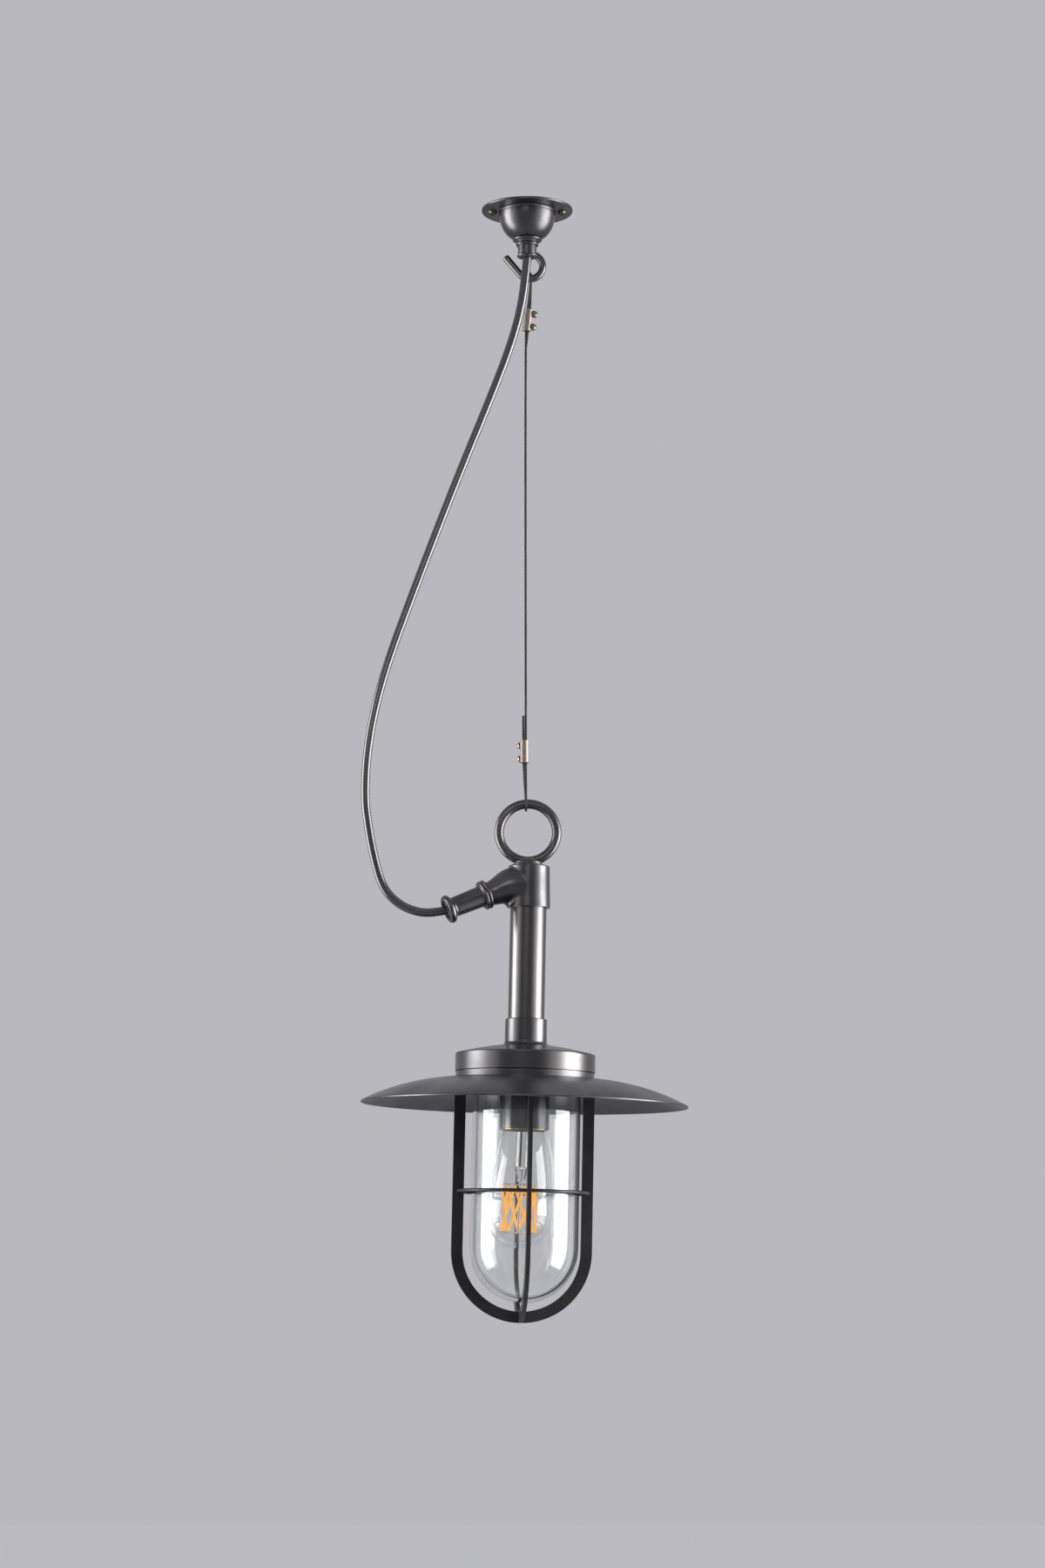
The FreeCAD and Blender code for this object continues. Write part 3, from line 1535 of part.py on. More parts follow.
def make_bulb_glass():
    wall = at.bulb_glass_wall
    neck_top = bulb_cap_bottom + at.bulb_neck_hold
    neck_bottom = bulb_cap_bottom - at.bulb_neck_show
    neck = at.bulb_neck_radius
    ball = at.bulb_ball_radius
    return turned("bulb_glass", bulb_frame, [
        (as_size(0), bulb_centre - ball, ball * quarter_share),
        (ball, bulb_centre, at.bulb_flank_bulge),
        (at.bulb_shoulder_radius, bulb_shoulder, wall * 2.0),
        (neck, neck_bottom),
        (neck, neck_top),
        (neck - wall, neck_top),
        (neck - wall, neck_bottom - wall, -wall * 2.0),
        (at.bulb_shoulder_radius - wall, bulb_shoulder, -at.bulb_flank_bulge),
        (ball - wall, bulb_centre, -((ball - wall) * quarter_share)),
        (as_size(0), bulb_centre - ball + wall),
    ])


def make_bulb_stem():
    # The glass mount: a flared foot in the neck and a tube that narrows to a pinch.
    foot = at.bulb_neck_radius - at.bulb_glass_wall
    tube = at.bulb_stem_radius
    wall = at.bulb_stem_wall
    tip = bulb_cap_bottom - at.bulb_stem_drop
    flare = bulb_cap_bottom + wall
    bend = bulb_cap_bottom - at.bulb_stem_radius
    pinch = tip + at.bulb_stem_radius * 2.0
    return turned("bulb_stem", bulb_frame, [
        (as_size(0), tip),
        (at.bulb_stem_tip, tip),
        (at.bulb_stem_tip, tip + wall * 2.0),
        (tube, pinch),
        (tube, bend),
        (foot, flare),
        (foot - wall, flare),
        (tube - wall, bend),
        (tube - wall, pinch),
        (as_size(0), pinch - wall * 2.0),
    ])


def filament_spot(angle, radius, level):
    across = radius * math.cos(math.radians(angle))
    along = radius * math.sin(math.radians(angle))
    return bulb_frame.multVec(spot(across, along, level))


def filament_ends():
    # Inner and outer filaments lean opposite ways, and each pair meets at the foot.
    pairs = filament_pair_count
    for index in range(pairs * 2):
        outer = index % 2 == 1
        leaning = 1 if outer else -1
        radius = at.filament_outer if outer else at.filament_inner
        start = 180 / pairs * index
        finish = start + angles["filament_twist_angle"] * leaning
        yield outer, start, finish, radius


def rod_between(start, end, radius):
    return Part.makeCylinder(float(radius), (end - start).Length, start, end - start)


def make_bulb_filaments():
    rods = []
    for _, start, finish, radius in filament_ends():
        top = filament_spot(start, radius, filament_top)
        bottom = filament_spot(finish, radius, filament_bottom)
        rods.append(rod_between(top, bottom, at.filament_radius))
    return solid_from("bulb_filaments", Part.makeCompound(rods))


def make_bulb_supports():
    # A post with a hub at each end, and a bent wire from a hub to each filament's end.
    wire = float(at.support_wire)
    bend = float(at.support_bend)
    upper_level = filament_top + at.support_reach
    lower_level = filament_bottom - at.support_reach
    upper_end = filament_top + at.support_gap
    lower_end = filament_bottom - at.support_gap
    hub_half = at.support_wire * 2.0
    tip = bulb_frame.multVec(spot(0, 0, bulb_cap_bottom - at.bulb_stem_drop))
    foot = bulb_frame.multVec(spot(0, 0, lower_level))
    pieces = [rod_between(tip, foot, at.support_post)]
    for level in (upper_level, lower_level):
        above = bulb_frame.multVec(spot(0, 0, level + hub_half))
        below = bulb_frame.multVec(spot(0, 0, level - hub_half))
        pieces.append(rod_between(above, below, at.support_hub))
    for outer, start, finish, radius in filament_ends():
        top = [bulb_frame.multVec(spot(0, 0, upper_level)), filament_spot(start, radius, upper_level),
               filament_spot(start, radius, upper_end)]
        bottom = [bulb_frame.multVec(spot(0, 0, lower_level)), filament_spot(finish, radius, lower_level),
                  filament_spot(finish, radius, lower_end)]
        pieces.append(wire_along(top, bend, wire))
        if outer:
            pieces.append(wire_along(bottom, bend, wire))
        else:
            pieces.append(rod_between(bottom[1], bottom[2], wire * 0.9))
    return solid_from("bulb_supports", pieces[0].multiFuse(pieces[1:]).removeSplitter())


def wire_along(points, bend, radius):
    path = cord_path(points, [bend])
    section = Part.Wire([Part.makeCircle(radius, points[0], points[1] - points[0])])
    return path.makePipeShell([section], True, False)


def make_all():
    return [
        make_ceiling_rose(),
        make_rose_screws(),
        make_ceiling_hook(),
        make_hook_nut(),
        make_rose_bush(),
        make_terminal_block(),
        make_terminal_screws(),
        make_flex_rose_end(),
        make_flex(),
        make_wire_rope(),
        make_clamp("upper_clamp", upper_clamp_frame, at.upper_screw_angle),
        make_clamp_screws("upper_clamp_screws", upper_clamp_frame, at.upper_screw_angle),
        make_clamp("lower_clamp", lower_clamp_frame, at.lower_screw_angle),
        make_clamp_screws("lower_clamp_screws", lower_clamp_frame, at.lower_screw_angle),
        make_lifting_eye(),
        make_entry_cap(),
        make_gland_body(),
        make_gland_seal(),
        make_gland_washer(),
        make_flex_lamp_end(),
        make_stem_tube(),
        make_gallery(),
        make_lampholder_nipple(),
        make_lampholder_nuts(),
        make_lampholder_shell(),
        make_lampholder_core(),
        make_lampholder_thread(),
        make_lampholder_contact(),
        make_lampholder_skirt(),
        make_glass_gasket(),
        make_glass_jar(),
        make_retaining_ring(),
        make_shade(),
        make_guard_flange(),
        make_guard_screws(),
        make_guard_strap("guard_strap_side", 0, True),
        make_guard_strap("guard_strap_front", 90, False),
        make_guard_ring(),
        make_bulb_contact(),
        make_bulb_insulator(),
        make_bulb_cap(),
        make_bulb_glass(),
        make_bulb_stem(),
        make_bulb_filaments(),
        make_bulb_supports(),
    ]


def write_all(nodes):
    doc.recompute()
    for thing in doc.Objects:
        if "Invalid" in thing.State or "Error" in thing.State:
            raise RuntimeError(f"{thing.Label} is {thing.State}")
    for node in nodes:
        if node.Shape.isNull() or not node.Shape.isValid() or not node.Shape.Solids:
            raise RuntimeError(f"{node.Label} has no sound solid")
    os.makedirs("parts", exist_ok=True)
    for node in nodes:
        node.Shape.exportStep(os.path.join("parts", node.Label + ".step"))
        print(f"{node.Label}: {len(node.Shape.Solids)} solids, {node.Shape.Volume:.0f} mm3")


write_all(make_all())
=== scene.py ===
import json
import math

import bmesh
import bpy
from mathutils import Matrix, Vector

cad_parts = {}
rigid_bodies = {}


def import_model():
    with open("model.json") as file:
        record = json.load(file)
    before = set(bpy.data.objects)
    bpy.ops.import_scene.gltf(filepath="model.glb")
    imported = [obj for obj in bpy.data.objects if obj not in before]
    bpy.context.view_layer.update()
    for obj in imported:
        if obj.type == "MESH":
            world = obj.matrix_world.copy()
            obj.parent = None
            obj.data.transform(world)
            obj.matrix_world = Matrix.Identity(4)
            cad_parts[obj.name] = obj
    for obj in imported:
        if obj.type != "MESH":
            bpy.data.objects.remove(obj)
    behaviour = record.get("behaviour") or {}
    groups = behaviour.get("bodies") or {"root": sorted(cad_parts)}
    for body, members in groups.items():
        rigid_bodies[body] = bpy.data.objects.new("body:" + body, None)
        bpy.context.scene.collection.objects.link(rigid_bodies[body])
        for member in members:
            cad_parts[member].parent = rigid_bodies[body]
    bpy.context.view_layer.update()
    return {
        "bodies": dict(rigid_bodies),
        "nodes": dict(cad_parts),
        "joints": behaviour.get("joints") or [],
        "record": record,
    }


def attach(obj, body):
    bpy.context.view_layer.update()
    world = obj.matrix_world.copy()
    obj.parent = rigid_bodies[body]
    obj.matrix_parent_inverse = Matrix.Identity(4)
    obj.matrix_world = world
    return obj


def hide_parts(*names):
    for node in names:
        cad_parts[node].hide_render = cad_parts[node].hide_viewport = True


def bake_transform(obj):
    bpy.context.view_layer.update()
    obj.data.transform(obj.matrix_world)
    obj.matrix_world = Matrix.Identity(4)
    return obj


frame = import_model()
nodes = frame["nodes"]
print("frame loaded:", len(nodes), "nodes")

# the photograph's camera, in metres and degrees
camera = {"place": (-0.00465, -3.412, -1.0778), "lens": 82.0, "sensor": 36.0, "tilt": 8.4, "clipEnd": 60}


def addCamera(c):
    bpy.ops.object.camera_add(location=c["place"], rotation=(math.radians(90 + c["tilt"]), 0, 0))
    cam = bpy.context.object
    cam.name = "photoCamera"
    cam.data.sensor_fit = "VERTICAL"
    cam.data.sensor_height = c["sensor"]
    cam.data.lens = c["lens"]
    cam.data.clip_end = c["clipEnd"]
    bpy.context.scene.camera = cam


def deselectAll():
    if bpy.context.object and bpy.context.object.mode != "OBJECT":
        bpy.ops.object.mode_set(mode="OBJECT")
    bpy.ops.object.select_all(action="DESELECT")


def onlyThis(obj):
    deselectAll()
    obj.select_set(True)
    bpy.context.view_layer.objects.active = obj


addCamera(camera)

# both cords follow the same route points as their solids, in metres
flexCord = {
    "points": [
        (0.0, 0.0, -0.0485), (-0.0019, -0.0006, -0.0686), (-0.0056, -0.0019, -0.0978),
        (-0.0142, -0.0038, -0.1328), (-0.0315, -0.0064, -0.1815), (-0.0695, -0.0102, -0.2775),
        (-0.1078, -0.0142, -0.3807), (-0.139, -0.0173, -0.4689), (-0.1532, -0.019, -0.5331),
        (-0.1564, -0.0198, -0.5883), (-0.1522, -0.0199, -0.6207), (-0.1465, -0.0195, -0.6493),
        (-0.1401, -0.0188, -0.6721), (-0.132, -0.0177, -0.6845), (-0.1206, -0.0159, -0.6939),
        (-0.1069, -0.0132, -0.6994), (-0.0921, -0.0099, -0.7006), (-0.0777, -0.0066, -0.6973),
    ],
    "diameter": 0.0085,
    "length": 0.7254,
    "bendStart": (0.0, 0.0, -0.060),
    "bendEnd": (-0.079, -0.011, -0.300),
    "steps": 12,
    "roundness": 6,
    "smoothAngle": 40,
}
ropeCord = {
    "points": [
        (-0.0011, 0.0118, -0.135), (0.0006, 0.0145, -0.1196), (0.0029, 0.0145, -0.0972),
        (0.0036, 0.0189, -0.0714), (0.0036, 0.0199, -0.0645), (0.0036, 0.0168, -0.061),
        (0.0036, 0.0122, -0.061), (0.0036, 0.0091, -0.0645), (0.0036, 0.0101, -0.0714),
        (0.0004, 0.0145, -0.097), (-0.0019, 0.0145, -0.1194), (-0.0014, 0.0145, -0.5288),
        (-0.0014, 0.0145, -0.5512), (-0.0013, 0.009, -0.5865), (-0.0013, 0.0081, -0.5934),
        (-0.0013, 0.0117, -0.5976), (-0.0013, 0.0173, -0.5976), (-0.0013, 0.0209, -0.5934),
        (-0.0013, 0.02, -0.5865), (-0.0039, 0.0145, -0.5512), (-0.0039, 0.0145, -0.5048),
    ],
    "diameter": 0.0024,
    "length": 0.719,
    "strands": 6,
    "layLength": 0.015,
    "sides": 6,
    "step": 0.0012,
    "steps": 24,
    "smoothAngle": 65,
}


def routeCurve(name, points, steps):
    data = bpy.data.curves.new(name, "CURVE")
    data.dimensions = "3D"
    data.resolution_u = steps
    spline = data.splines.new("NURBS")
    spline.points.add(len(points) - 1)
    for place, point in zip(points, spline.points):
        point.co = (*place, 1)
    spline.order_u = 3
    spline.use_endpoint_u = True
    obj = bpy.data.objects.new(name, data)
    bpy.context.collection.objects.link(obj)
    return obj


def routeLine(curve):
    mesh = bpy.data.meshes.new_from_object(curve)
    line = [vertex.co.copy() for vertex in mesh.vertices]
    bpy.data.meshes.remove(mesh)
    return line


def makeFlex(c):
    curve = routeCurve("flexTube", c["points"], c["steps"])
    line = routeLine(curve)
    curve.data.bevel_depth = c["diameter"] / 2
    curve.data.bevel_resolution = c["roundness"]
    curve.data.use_fill_caps = True
    onlyThis(curve)
    bpy.ops.object.convert(target="MESH")
    tube = bpy.context.object
    bpy.ops.object.shade_smooth_by_angle(angle=math.radians(c["smoothAngle"]))
    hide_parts("flex")
    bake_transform(tube)
    return tube


def evenLine(line, step):
    # points along the line at even steps
    places = [line[0]]
    left = step
    for here, there in zip(line, line[1:]):
        span = (there - here).length
        done = 0.0
        while span - done >= left:
            done += left
            places.append(here.lerp(there, done / span))
            left = step
        left -= span - done
    places.append(line[-1])
    return places


def carriedFrames(line):
    # a heading and two sides at each point, carried along without twist
    frames = []
    side = Vector((1, 0, 0))
    for index, place in enumerate(line):
        before = line[max(index - 1, 0)]
        after = line[min(index + 1, len(line) - 1)]
        heading = (after - before).normalized()
        side = (side - heading * side.dot(heading)).normalized()
        frames.append((place, side, heading.cross(side)))
    return frames


def strandPlace(c, frame, travel, strand):
    # strand 0 is the core, and the others are laid round it, all a third of the rope's diameter
    place, side, across = frame
    if strand == 0:
        return place
    turn = 2 * math.pi * (travel / c["layLength"] + strand / c["strands"])
    reach = c["diameter"] / 3
    return place + (side * math.cos(turn) + across * math.sin(turn)) * reach


def addStrand(mesh, c, frames, strand):
    thick = c["diameter"] / 6
    line = [strandPlace(c, frame, index * c["step"], strand) for index, frame in enumerate(frames)]
    rings = []
    for place, side, across in carriedFrames(line):
        ring = []
        for corner in range(c["sides"]):
            turn = 2 * math.pi * corner / c["sides"]
            ring.append(mesh.verts.new(place + (side * math.cos(turn) + across * math.sin(turn)) * thick))
        rings.append(ring)
    for ring, following in zip(rings, rings[1:]):
        for corner in range(c["sides"]):
            onward = (corner + 1) % c["sides"]
            mesh.faces.new((ring[corner], ring[onward], following[onward], following[corner]))
    mesh.faces.new(list(reversed(rings[0])))
    mesh.faces.new(rings[-1])


def makeRope(c):
    curve = routeCurve("ropeLine", c["points"], c["steps"])
    line = evenLine(routeLine(curve), c["step"])
    bpy.data.objects.remove(curve)
    mesh = bmesh.new()
    frames = carriedFrames(line)
    for strand in range(c["strands"] + 1):
        addStrand(mesh, c, frames, strand)
    bmesh.ops.recalc_face_normals(mesh, faces=mesh.faces)
    data = bpy.data.meshes.new("strandedRope")
    mesh.to_mesh(data)
    mesh.free()
    rope = bpy.data.objects.new("strandedRope", data)
    bpy.context.collection.objects.link(rope)
    onlyThis(rope)
    bpy.ops.object.shade_smooth_by_angle(angle=math.radians(c["smoothAngle"]))
    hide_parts("wire_rope")
    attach(rope, "pendant")
    return rope


flexTube = makeFlex(flexCord)
strandedRope = makeRope(ropeCord)
print("flex and rope made")

# finishes; colours are linear, scales are per metre
castDark = {"dark": (0.076, 0.075, 0.080), "light": (0.128, 0.122, 0.124), "metallic": 1.0,
            "roughLow": 0.26, "roughHigh": 0.37, "cloudScale": 34, "grainScale": 900, "bump": 0.025,
            "worn": (0.30, 0.215, 0.175), "wornShare": 0.7}
spunDark = {"dark": (0.080, 0.079, 0.084), "light": (0.128, 0.123, 0.124), "metallic": 1.0,
            "roughLow": 0.26, "roughHigh": 0.36, "cloudScale": 16, "grainScale": 700, "bump": 0.012,
            "worn": (0.30, 0.210, 0.165), "wornShare": 0.8}
tubeDark = {"dark": (0.096, 0.093, 0.095), "light": (0.155, 0.147, 0.144), "metallic": 1.0,
            "roughLow": 0.24, "roughHigh": 0.34, "cloudScale": 30, "grainScale": 800, "bump": 0.012,
            "worn": (0.30, 0.215, 0.175), "wornShare": 0.5, "stretch": (1, 1, 0.15)}
shellDark = {"dark": (0.078, 0.077, 0.084), "light": (0.120, 0.116, 0.120), "metallic": 1.0,
             "roughLow": 0.20, "roughHigh": 0.28, "cloudScale": 40, "grainScale": 800, "bump": 0.012,
             "worn": (0.26, 0.200, 0.160), "wornShare": 0.4}
guardDark = {"dark": (0.022, 0.022, 0.025), "light": (0.042, 0.040, 0.043), "metallic": 0.6,
             "roughLow": 0.34, "roughHigh": 0.48, "cloudScale": 40, "grainScale": 1100, "bump": 0.03,
             "worn": (0.10, 0.085, 0.080), "wornShare": 0.5}
wornEdge = {"reach": 0.0008, "sharp": 0.985, "sharpest": 0.90, "samples": 4}

# what the finishes share: detail of the noises, share of each that is used, depth of the relief
pattern = {
    "cloudDetail": 5, "grainDetail": 2, "plainDetail": 3, "waveDetail": 1, "smearDetail": 4,
    "span": (0.3, 0.7), "cloudSpan": (0.35, 0.68),
    "grainDepth": 0.0006, "plainDepth": 0.0004, "waveDepth": 0.001,
    "plainRough": (0.9, 1.15), "plainBump": 0.05, "plainSpecular": 0.5,
}


def newMaterial(name):
    material = bpy.data.materials.new(name)
    material.use_nodes = True
    return material, material.node_tree, material.node_tree.nodes["Principled BSDF"]


def noiseNode(tree, scale, detail, stretch=(1, 1, 1)):
    place = tree.nodes.new("ShaderNodeTexCoord")
    mapping = tree.nodes.new("ShaderNodeMapping")
    mapping.inputs["Scale"].default_value = stretch
    noise = tree.nodes.new("ShaderNodeTexNoise")
    noise.inputs["Scale"].default_value = scale
    noise.inputs["Detail"].default_value = detail
    tree.links.new(place.outputs["Object"], mapping.inputs["Vector"])
    tree.links.new(mapping.outputs["Vector"], noise.inputs["Vector"])
    return noise


def rampNode(tree, value, span, dark, light):
    ramp = tree.nodes.new("ShaderNodeValToRGB")
    ramp.color_ramp.elements[0].position = span[0]
    ramp.color_ramp.elements[1].position = span[1]
    ramp.color_ramp.elements[0].color = (*dark, 1)
    ramp.color_ramp.elements[1].color = (*light, 1)
    tree.links.new(value, ramp.inputs["Fac"])
    return ramp


def rangeNode(tree, value, low, high):
    node = tree.nodes.new("ShaderNodeMapRange")
    node.inputs["From Min"].default_value = pattern["span"][0]
    node.inputs["From Max"].default_value = pattern["span"][1]
    node.inputs["To Min"].default_value = low
    node.inputs["To Max"].default_value = high
    tree.links.new(value, node.inputs["Value"])
    return node.outputs["Result"]


def mathNode(tree, operation, *values):
    node = tree.nodes.new("ShaderNodeMath")
    node.operation = operation
    for value, socket in zip(values, node.inputs):
        tree.links.new(value, socket)
    return node.outputs[0]


def mixedColour(tree, share, first, second):
    # first is a colour or a link, second is a colour
    mixed = tree.nodes.new("ShaderNodeMix")
    mixed.data_type = "RGBA"
    if isinstance(first, tuple):
        mixed.inputs["A"].default_value = (*first, 1)
    else:
        tree.links.new(first, mixed.inputs["A"])
    mixed.inputs["B"].default_value = (*second, 1)
    tree.links.new(share, mixed.inputs["Factor"])
    return mixed.outputs["Result"]


def bumpNode(tree, height, strength, distance, shader):
    bump = tree.nodes.new("ShaderNodeBump")
    bump.inputs["Strength"].default_value = strength
    bump.inputs["Distance"].default_value = distance
    tree.links.new(height, bump.inputs["Height"])
    tree.links.new(bump.outputs["Normal"], shader.inputs["Normal"])


def edgeShare(tree, s, patches, most):
    # how far a point's normal differs from the rounded edge's, broken up by patches
    rounded = tree.nodes.new("ShaderNodeBevel")
    rounded.samples = s["samples"]
    rounded.inputs["Radius"].default_value = s["reach"]
    shape = tree.nodes.new("ShaderNodeNewGeometry")
    alike = tree.nodes.new("ShaderNodeVectorMath")
    alike.operation = "DOT_PRODUCT"
    tree.links.new(rounded.outputs["Normal"], alike.inputs[0])
    tree.links.new(shape.outputs["Normal"], alike.inputs[1])
    edge = tree.nodes.new("ShaderNodeMapRange")
    edge.inputs["From Min"].default_value = s["sharp"]
    edge.inputs["From Max"].default_value = s["sharpest"]
    edge.inputs["To Max"].default_value = most
    tree.links.new(alike.outputs["Value"], edge.inputs["Value"])
    return mathNode(tree, "MULTIPLY", edge.outputs["Result"], rangeNode(tree, patches, 0.0, 1.0))


def metalFinish(name, s):
    material, tree, shader = newMaterial(name)
    clouds = noiseNode(tree, s["cloudScale"], pattern["cloudDetail"], s.get("stretch", (1, 1, 1)))
    grain = noiseNode(tree, s["grainScale"], pattern["grainDetail"])
    colour = rampNode(tree, clouds.outputs["Fac"], pattern["cloudSpan"], s["dark"], s["light"])
    rough = rangeNode(tree, clouds.outputs["Fac"], s["roughHigh"], s["roughLow"])
    edges = edgeShare(tree, wornEdge, clouds.outputs["Fac"], s["wornShare"])
    worn = mixedColour(tree, edges, colour.outputs["Color"], s["worn"])
    tree.links.new(worn, shader.inputs["Base Color"])
    tree.links.new(rough, shader.inputs["Roughness"])
    shader.inputs["Metallic"].default_value = s["metallic"]
    bumpNode(tree, grain.outputs["Fac"], s["bump"], pattern["grainDepth"], shader)
    return material


def plainFinish(name, s):
    material, tree, shader = newMaterial(name)
    grain = noiseNode(tree, s["scale"], pattern["plainDetail"])
    colour = rampNode(tree, grain.outputs["Fac"], pattern["span"], s["dark"], s["light"])
    smoother, rougher = pattern["plainRough"]
    rough = rangeNode(tree, grain.outputs["Fac"], s["rough"] * smoother, s["rough"] * rougher)
    tree.links.new(colour.outputs["Color"], shader.inputs["Base Color"])
    tree.links.new(rough, shader.inputs["Roughness"])
    shader.inputs["Metallic"].default_value = s.get("metallic", 0)
    shader.inputs["Specular IOR Level"].default_value = s.get("specular", pattern["plainSpecular"])
    # an emission colour here is painted light: it makes a part that is no lamp glow
    if "paintedGlow" in s:
        shader.inputs["Emission Color"].default_value = (*s["paintedGlow"], 1)
        shader.inputs["Emission Strength"].default_value = s["paintedGlowStrength"]
    bumpNode(tree, grain.outputs["Fac"], s.get("bump", pattern["plainBump"]), pattern["plainDepth"], shader)
    return material


def glassFinish(name, s):
    material, tree, shader = newMaterial(name)
    waves = noiseNode(tree, s["waveScale"], pattern["waveDetail"])
    smears = noiseNode(tree, s["smearScale"], pattern["smearDetail"])
    rough = rangeNode(tree, smears.outputs["Fac"], 0.0, s["smear"])
    tree.links.new(rough, shader.inputs["Roughness"])
    shader.inputs["Base Color"].default_value = (*s["colour"], 1)
    shader.inputs["Transmission Weight"].default_value = 1
    shader.inputs["IOR"].default_value = s["ior"]
    bumpNode(tree, waves.outputs["Fac"], s["wave"], pattern["waveDepth"], shader)
    return material


finishes = {
    "castDark": metalFinish("castDark", castDark),
    "spunDark": metalFinish("spunDark", spunDark),
    "tubeDark": metalFinish("tubeDark", tubeDark),
    "shellDark": metalFinish("shellDark", shellDark),
    "guardDark": metalFinish("guardDark", guardDark),
    "clearGlass": glassFinish("clearGlass", {
        "colour": (0.97, 0.985, 0.98), "ior": 1.46, "waveScale": 22, "wave": 0.05, "smearScale": 60,
        "smear": 0.02}),
    "bulbGlass": glassFinish("bulbGlass", {
        "colour": (0.99, 0.985, 0.98), "ior": 1.45, "waveScale": 30, "wave": 0.03, "smearScale": 80,
        "smear": 0.015}),
    "flexSheath": plainFinish("flexSheath", {
        "scale": 420, "dark": (0.022, 0.022, 0.027), "light": (0.030, 0.030, 0.036), "rough": 0.17,
        "specular": 1.0, "bump": 0.01}),
    "blackRubber": plainFinish("blackRubber", {
        "scale": 900, "dark": (0.016, 0.016, 0.016), "light": (0.032, 0.032, 0.032), "rough": 0.7}),
    "ropeSteel": plainFinish("ropeSteel", {
        "scale": 2200, "dark": (0.02, 0.02, 0.021), "light": (0.055, 0.053, 0.052), "rough": 0.42,
        "metallic": 0.8}),
    "clampBrass": plainFinish("clampBrass", {
        "scale": 300, "dark": (0.19, 0.158, 0.142), "light": (0.28, 0.235, 0.21), "rough": 0.5,
        "bump": 0.02, "metallic": 1}),
    "screwBrass": plainFinish("screwBrass", {
        "scale": 500, "dark": (0.18, 0.145, 0.095), "light": (0.36, 0.29, 0.19), "rough": 0.26,
        "metallic": 1}),
    "darkScrew": plainFinish("darkScrew", {
        "scale": 700, "dark": (0.06, 0.05, 0.042), "light": (0.20, 0.17, 0.14), "rough": 0.3,
        "metallic": 1}),
    "brightSteel": plainFinish("brightSteel", {
        "scale": 500, "dark": (0.32, 0.32, 0.33), "light": (0.52, 0.52, 0.53), "rough": 0.3,
        "metallic": 1}),
    "agedBrass": plainFinish("agedBrass", {
        "scale": 260, "dark": (0.28, 0.20, 0.09), "light": (0.52, 0.39, 0.20), "rough": 0.33,
        "metallic": 1}),
    "porcelain": plainFinish("porcelain", {
        "scale": 200, "dark": (0.74, 0.71, 0.64), "light": (0.82, 0.79, 0.73), "rough": 0.2}),
    "terminalPlastic": plainFinish("terminalPlastic", {
        "scale": 300, "dark": (0.72, 0.70, 0.64), "light": (0.80, 0.78, 0.73), "rough": 0.4}),
    # the filaments' emission is painted light: the unlit filaments glow in place of studio light that the
    # bulb and jar glass keep off them
    "filamentCoat": plainFinish("filamentCoat", {
        "scale": 900, "dark": (0.90, 0.42, 0.04), "light": (1.0, 0.56, 0.10), "rough": 0.5,
        "paintedGlow": (1.0, 0.46, 0.07), "paintedGlowStrength": 0.7}),
    "nickelWire": plainFinish("nickelWire", {
        "scale": 900, "dark": (0.40, 0.39, 0.37), "light": (0.60, 0.59, 0.56), "rough": 0.3,
        "metallic": 1}),
    "capMetal": plainFinish("capMetal", {
        "scale": 300, "dark": (0.58, 0.55, 0.49), "light": (0.76, 0.73, 0.67), "rough": 0.28,
        "metallic": 1}),
    "blackGlass": plainFinish("blackGlass", {
        "scale": 300, "dark": (0.01, 0.01, 0.012), "light": (0.02, 0.02, 0.024), "rough": 0.12}),
}

nodeFinish = {
    "castDark": ["ceiling_rose", "ceiling_hook", "lifting_eye", "entry_cap", "gland_body",
                 "gland_washer"],
    "spunDark": ["gallery", "retaining_ring", "shade"],
    "tubeDark": ["stem_tube"],
    "shellDark": ["lampholder_shell"],
    "guardDark": ["guard_flange", "guard_strap_side", "guard_strap_front", "guard_ring"],
    "clearGlass": ["glass_jar"],
    "bulbGlass": ["bulb_glass", "bulb_stem"],
    "flexSheath": ["flex_rose_end", "flex_lamp_end", "flex"],
    "blackRubber": ["rose_bush", "gland_seal", "glass_gasket"],
    "ropeSteel": ["wire_rope"],
    "clampBrass": ["upper_clamp", "lower_clamp"],
    "screwBrass": ["upper_clamp_screws", "lower_clamp_screws"],
    "darkScrew": ["rose_screws"],
    "brightSteel": ["hook_nut", "terminal_screws", "guard_screws"],
    "agedBrass": ["lampholder_nipple", "lampholder_nuts", "lampholder_thread", "lampholder_contact",
                  "lampholder_skirt"],
    "porcelain": ["lampholder_core"],
    "terminalPlastic": ["terminal_block"],
    "filamentCoat": ["bulb_filaments"],
    "nickelWire": ["bulb_supports"],
    "capMetal": ["bulb_cap", "bulb_contact"],
    "blackGlass": ["bulb_insulator"],
}


def giveFinish(obj, finish):
    obj.data.materials.clear()
    obj.data.materials.append(finishes[finish])


for finish, names in nodeFinish.items():
    for name in names:
        giveFinish(nodes[name], finish)
giveFinish(flexTube, "flexSheath")
giveFinish(strandedRope, "ropeSteel")
print("finishes given")

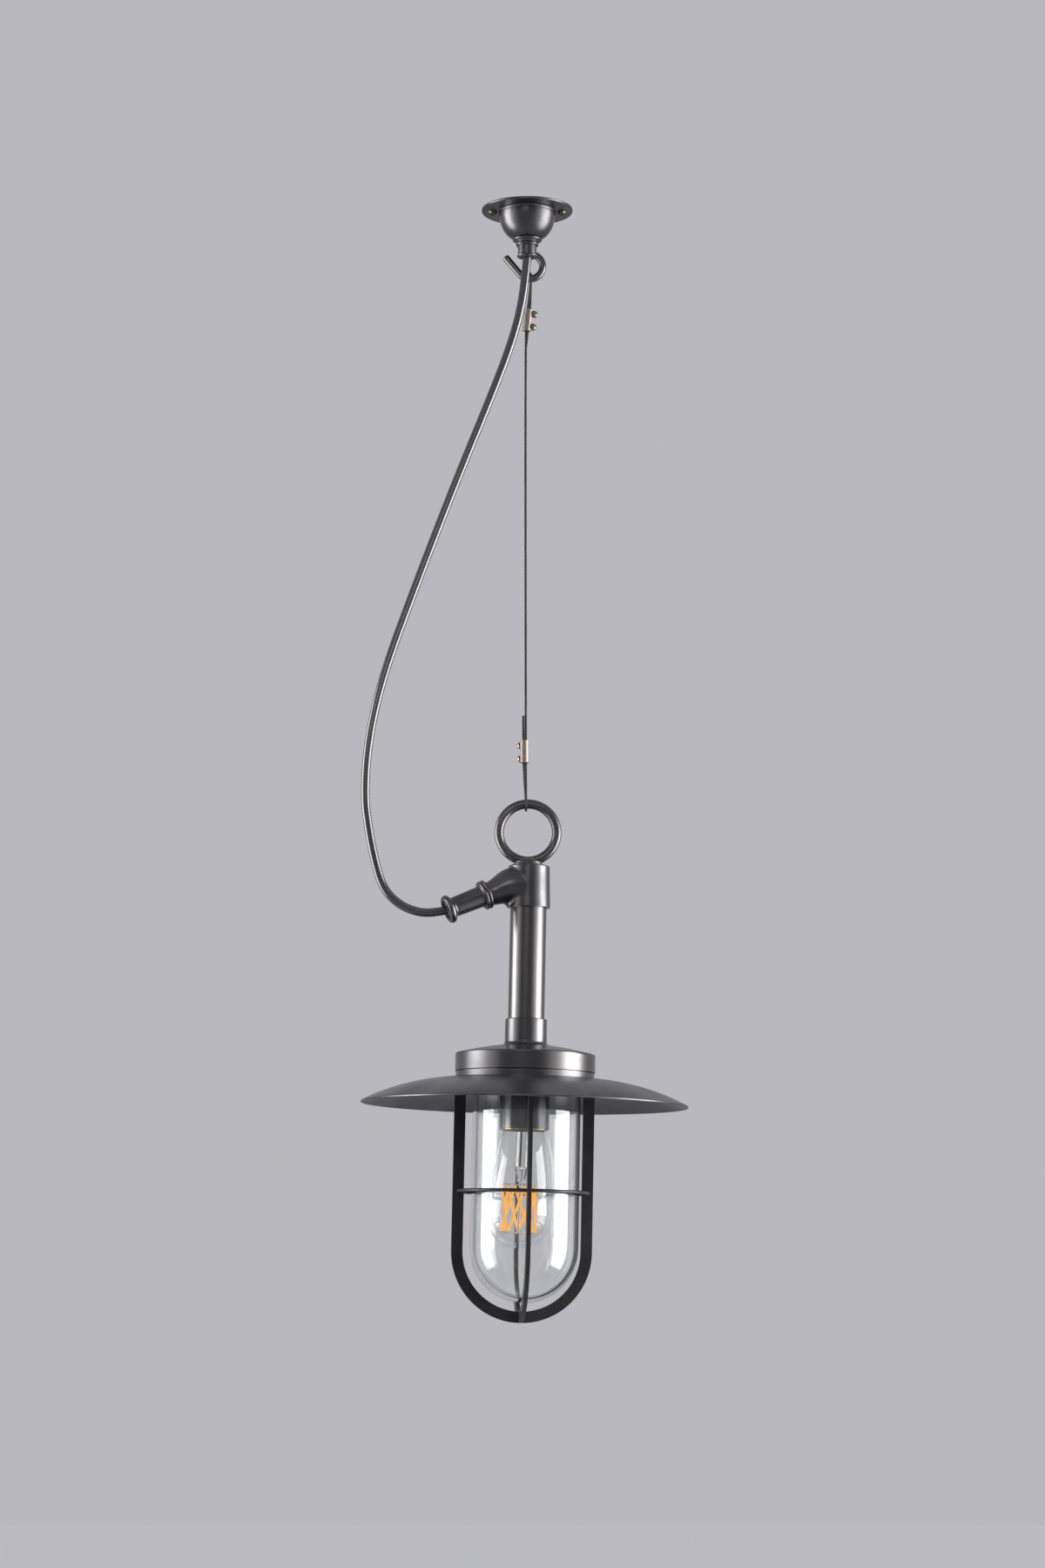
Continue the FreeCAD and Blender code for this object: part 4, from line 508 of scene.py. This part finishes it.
# a plain studio: a floor, a grey world and soft lamps; spans are of a direction's parts
studio = {
    "backdrop": (0.482, 0.478, 0.510), "ambient": (0.150, 0.152, 0.162),
    "behind": (0.1, 0.8), "above": (0.15, 0.6),
    "sideGlow": (6.0, 6.0, 6.1), "beside": (0.80, 0.90), "level": (0.42, 0.30), "mirrored": (0.4, 0.6),
    "floor": (0.70, 0.70, 0.72), "floorRough": 0.9, "floorLevel": -3.30, "floorSize": 70.0,
    "floorGlow": 0.36, "lampSpread": 115,
}
lamps = [
    {"name": "leftSoftbox", "place": (-2.25, -0.05, -0.95), "aim": (0, -0.05, -0.95), "size": 1.2,
     "height": 2.9, "watts": 44},
    {"name": "rightSoftbox", "place": (2.2, -0.25, -0.95), "aim": (0, -0.1, -0.95), "size": 1.5,
     "height": 2.9, "watts": 66},
    {"name": "leftSpill", "place": (-2.1, -1.05, -0.75), "aim": (0, 0, -0.75), "size": 1.3,
     "height": 2.4, "watts": 4.5},
    {"name": "rightSpill", "place": (1.9, -1.35, -0.75), "aim": (0, 0, -0.75), "size": 1.2,
     "height": 2.4, "watts": 5},
    {"name": "frontFill", "place": (-0.6, -4.2, 0.8), "aim": (0, 0, -0.7), "size": 1.4, "height": 1.0,
     "watts": 5},
]


def brightShare(tree, value, span):
    share = tree.nodes.new("ShaderNodeMapRange")
    share.interpolation_type = "SMOOTHSTEP"
    share.inputs["From Min"].default_value = span[0]
    share.inputs["From Max"].default_value = span[1]
    tree.links.new(value, share.inputs["Value"])
    return share.outputs["Result"]


def mirroredShare(tree, s, parts, path):
    # the side lamps where the bulb and the jar mirror them, but not seen straight through the glass
    beside = brightShare(tree, mathNode(tree, "ABSOLUTE", parts.outputs["X"]), s["beside"])
    level = brightShare(tree, mathNode(tree, "ABSOLUTE", parts.outputs["Y"]), s["level"])
    mirrored = brightShare(tree, path.outputs["Glossy Depth"], s["mirrored"])
    leaving = mathNode(tree, "MULTIPLY", mirrored, path.outputs["Is Transmission Ray"])
    return mathNode(tree, "MULTIPLY", mathNode(tree, "MULTIPLY", beside, level), leaving)


def seenShare(tree, path):
    return mathNode(tree, "MAXIMUM", path.outputs["Is Camera Ray"], path.outputs["Is Transmission Ray"])


def makeWorld(s):
    # metal mirrors a bright wall and ceiling and a dark room in front
    world = bpy.data.worlds.new("studioWorld")
    bpy.context.scene.world = world
    world.use_nodes = True
    tree = world.node_tree
    tree.nodes.clear()
    place = tree.nodes.new("ShaderNodeTexCoord")
    parts = tree.nodes.new("ShaderNodeSeparateXYZ")
    tree.links.new(place.outputs["Generated"], parts.inputs[0])
    behind = brightShare(tree, parts.outputs["Y"], s["behind"])
    above = brightShare(tree, parts.outputs["Z"], s["above"])
    path = tree.nodes.new("ShaderNodeLightPath")
    bright = mathNode(tree, "MAXIMUM", seenShare(tree, path), mathNode(tree, "MAXIMUM", behind, above))
    room = mixedColour(tree, bright, s["ambient"], s["backdrop"])
    lit = mixedColour(tree, mirroredShare(tree, s, parts, path), room, s["sideGlow"])
    background = tree.nodes.new("ShaderNodeBackground")
    output = tree.nodes.new("ShaderNodeOutputWorld")
    tree.links.new(lit, background.inputs["Color"])
    tree.links.new(background.outputs[0], output.inputs["Surface"])


def makeFloor(s):
    deselectAll()
    bpy.ops.mesh.primitive_plane_add(size=s["floorSize"], location=(0, 0, s["floorLevel"]))
    floor = bpy.context.object
    floor.name = "studioFloor"
    material, tree, shader = newMaterial("studioFloor")
    shader.inputs["Base Color"].default_value = (*s["floor"], 1)
    shader.inputs["Roughness"].default_value = s["floorRough"]
    shader.inputs["Emission Color"].default_value = (*s["backdrop"], 1)
    path = tree.nodes.new("ShaderNodeLightPath")
    paintedGlow = tree.nodes.new("ShaderNodeMapRange")
    paintedGlow.inputs["To Max"].default_value = s["floorGlow"]
    tree.links.new(seenShare(tree, path), paintedGlow.inputs["Value"])
    tree.links.new(paintedGlow.outputs["Result"], shader.inputs["Emission Strength"])
    floor.data.materials.append(material)


def addLamp(s, spread):
    bpy.ops.object.light_add(type="AREA", location=s["place"])
    lamp = bpy.context.object
    lamp.name = s["name"]
    lamp.data.shape = "RECTANGLE"
    lamp.data.size = s["size"]
    lamp.data.size_y = s["height"]
    lamp.data.energy = s["watts"]
    lamp.data.spread = math.radians(spread)
    lamp.visible_transmission = False  # glass would show it as a white sheet from the side
    aim = Vector(s["aim"]) - Vector(s["place"])
    lamp.rotation_euler = aim.to_track_quat("-Z", "Y").to_euler()


makeWorld(studio)
makeFloor(studio)
for lamp in lamps:
    addLamp(lamp, studio["lampSpread"])
bpy.context.scene.view_settings.view_transform = "Standard"
print("studio made")
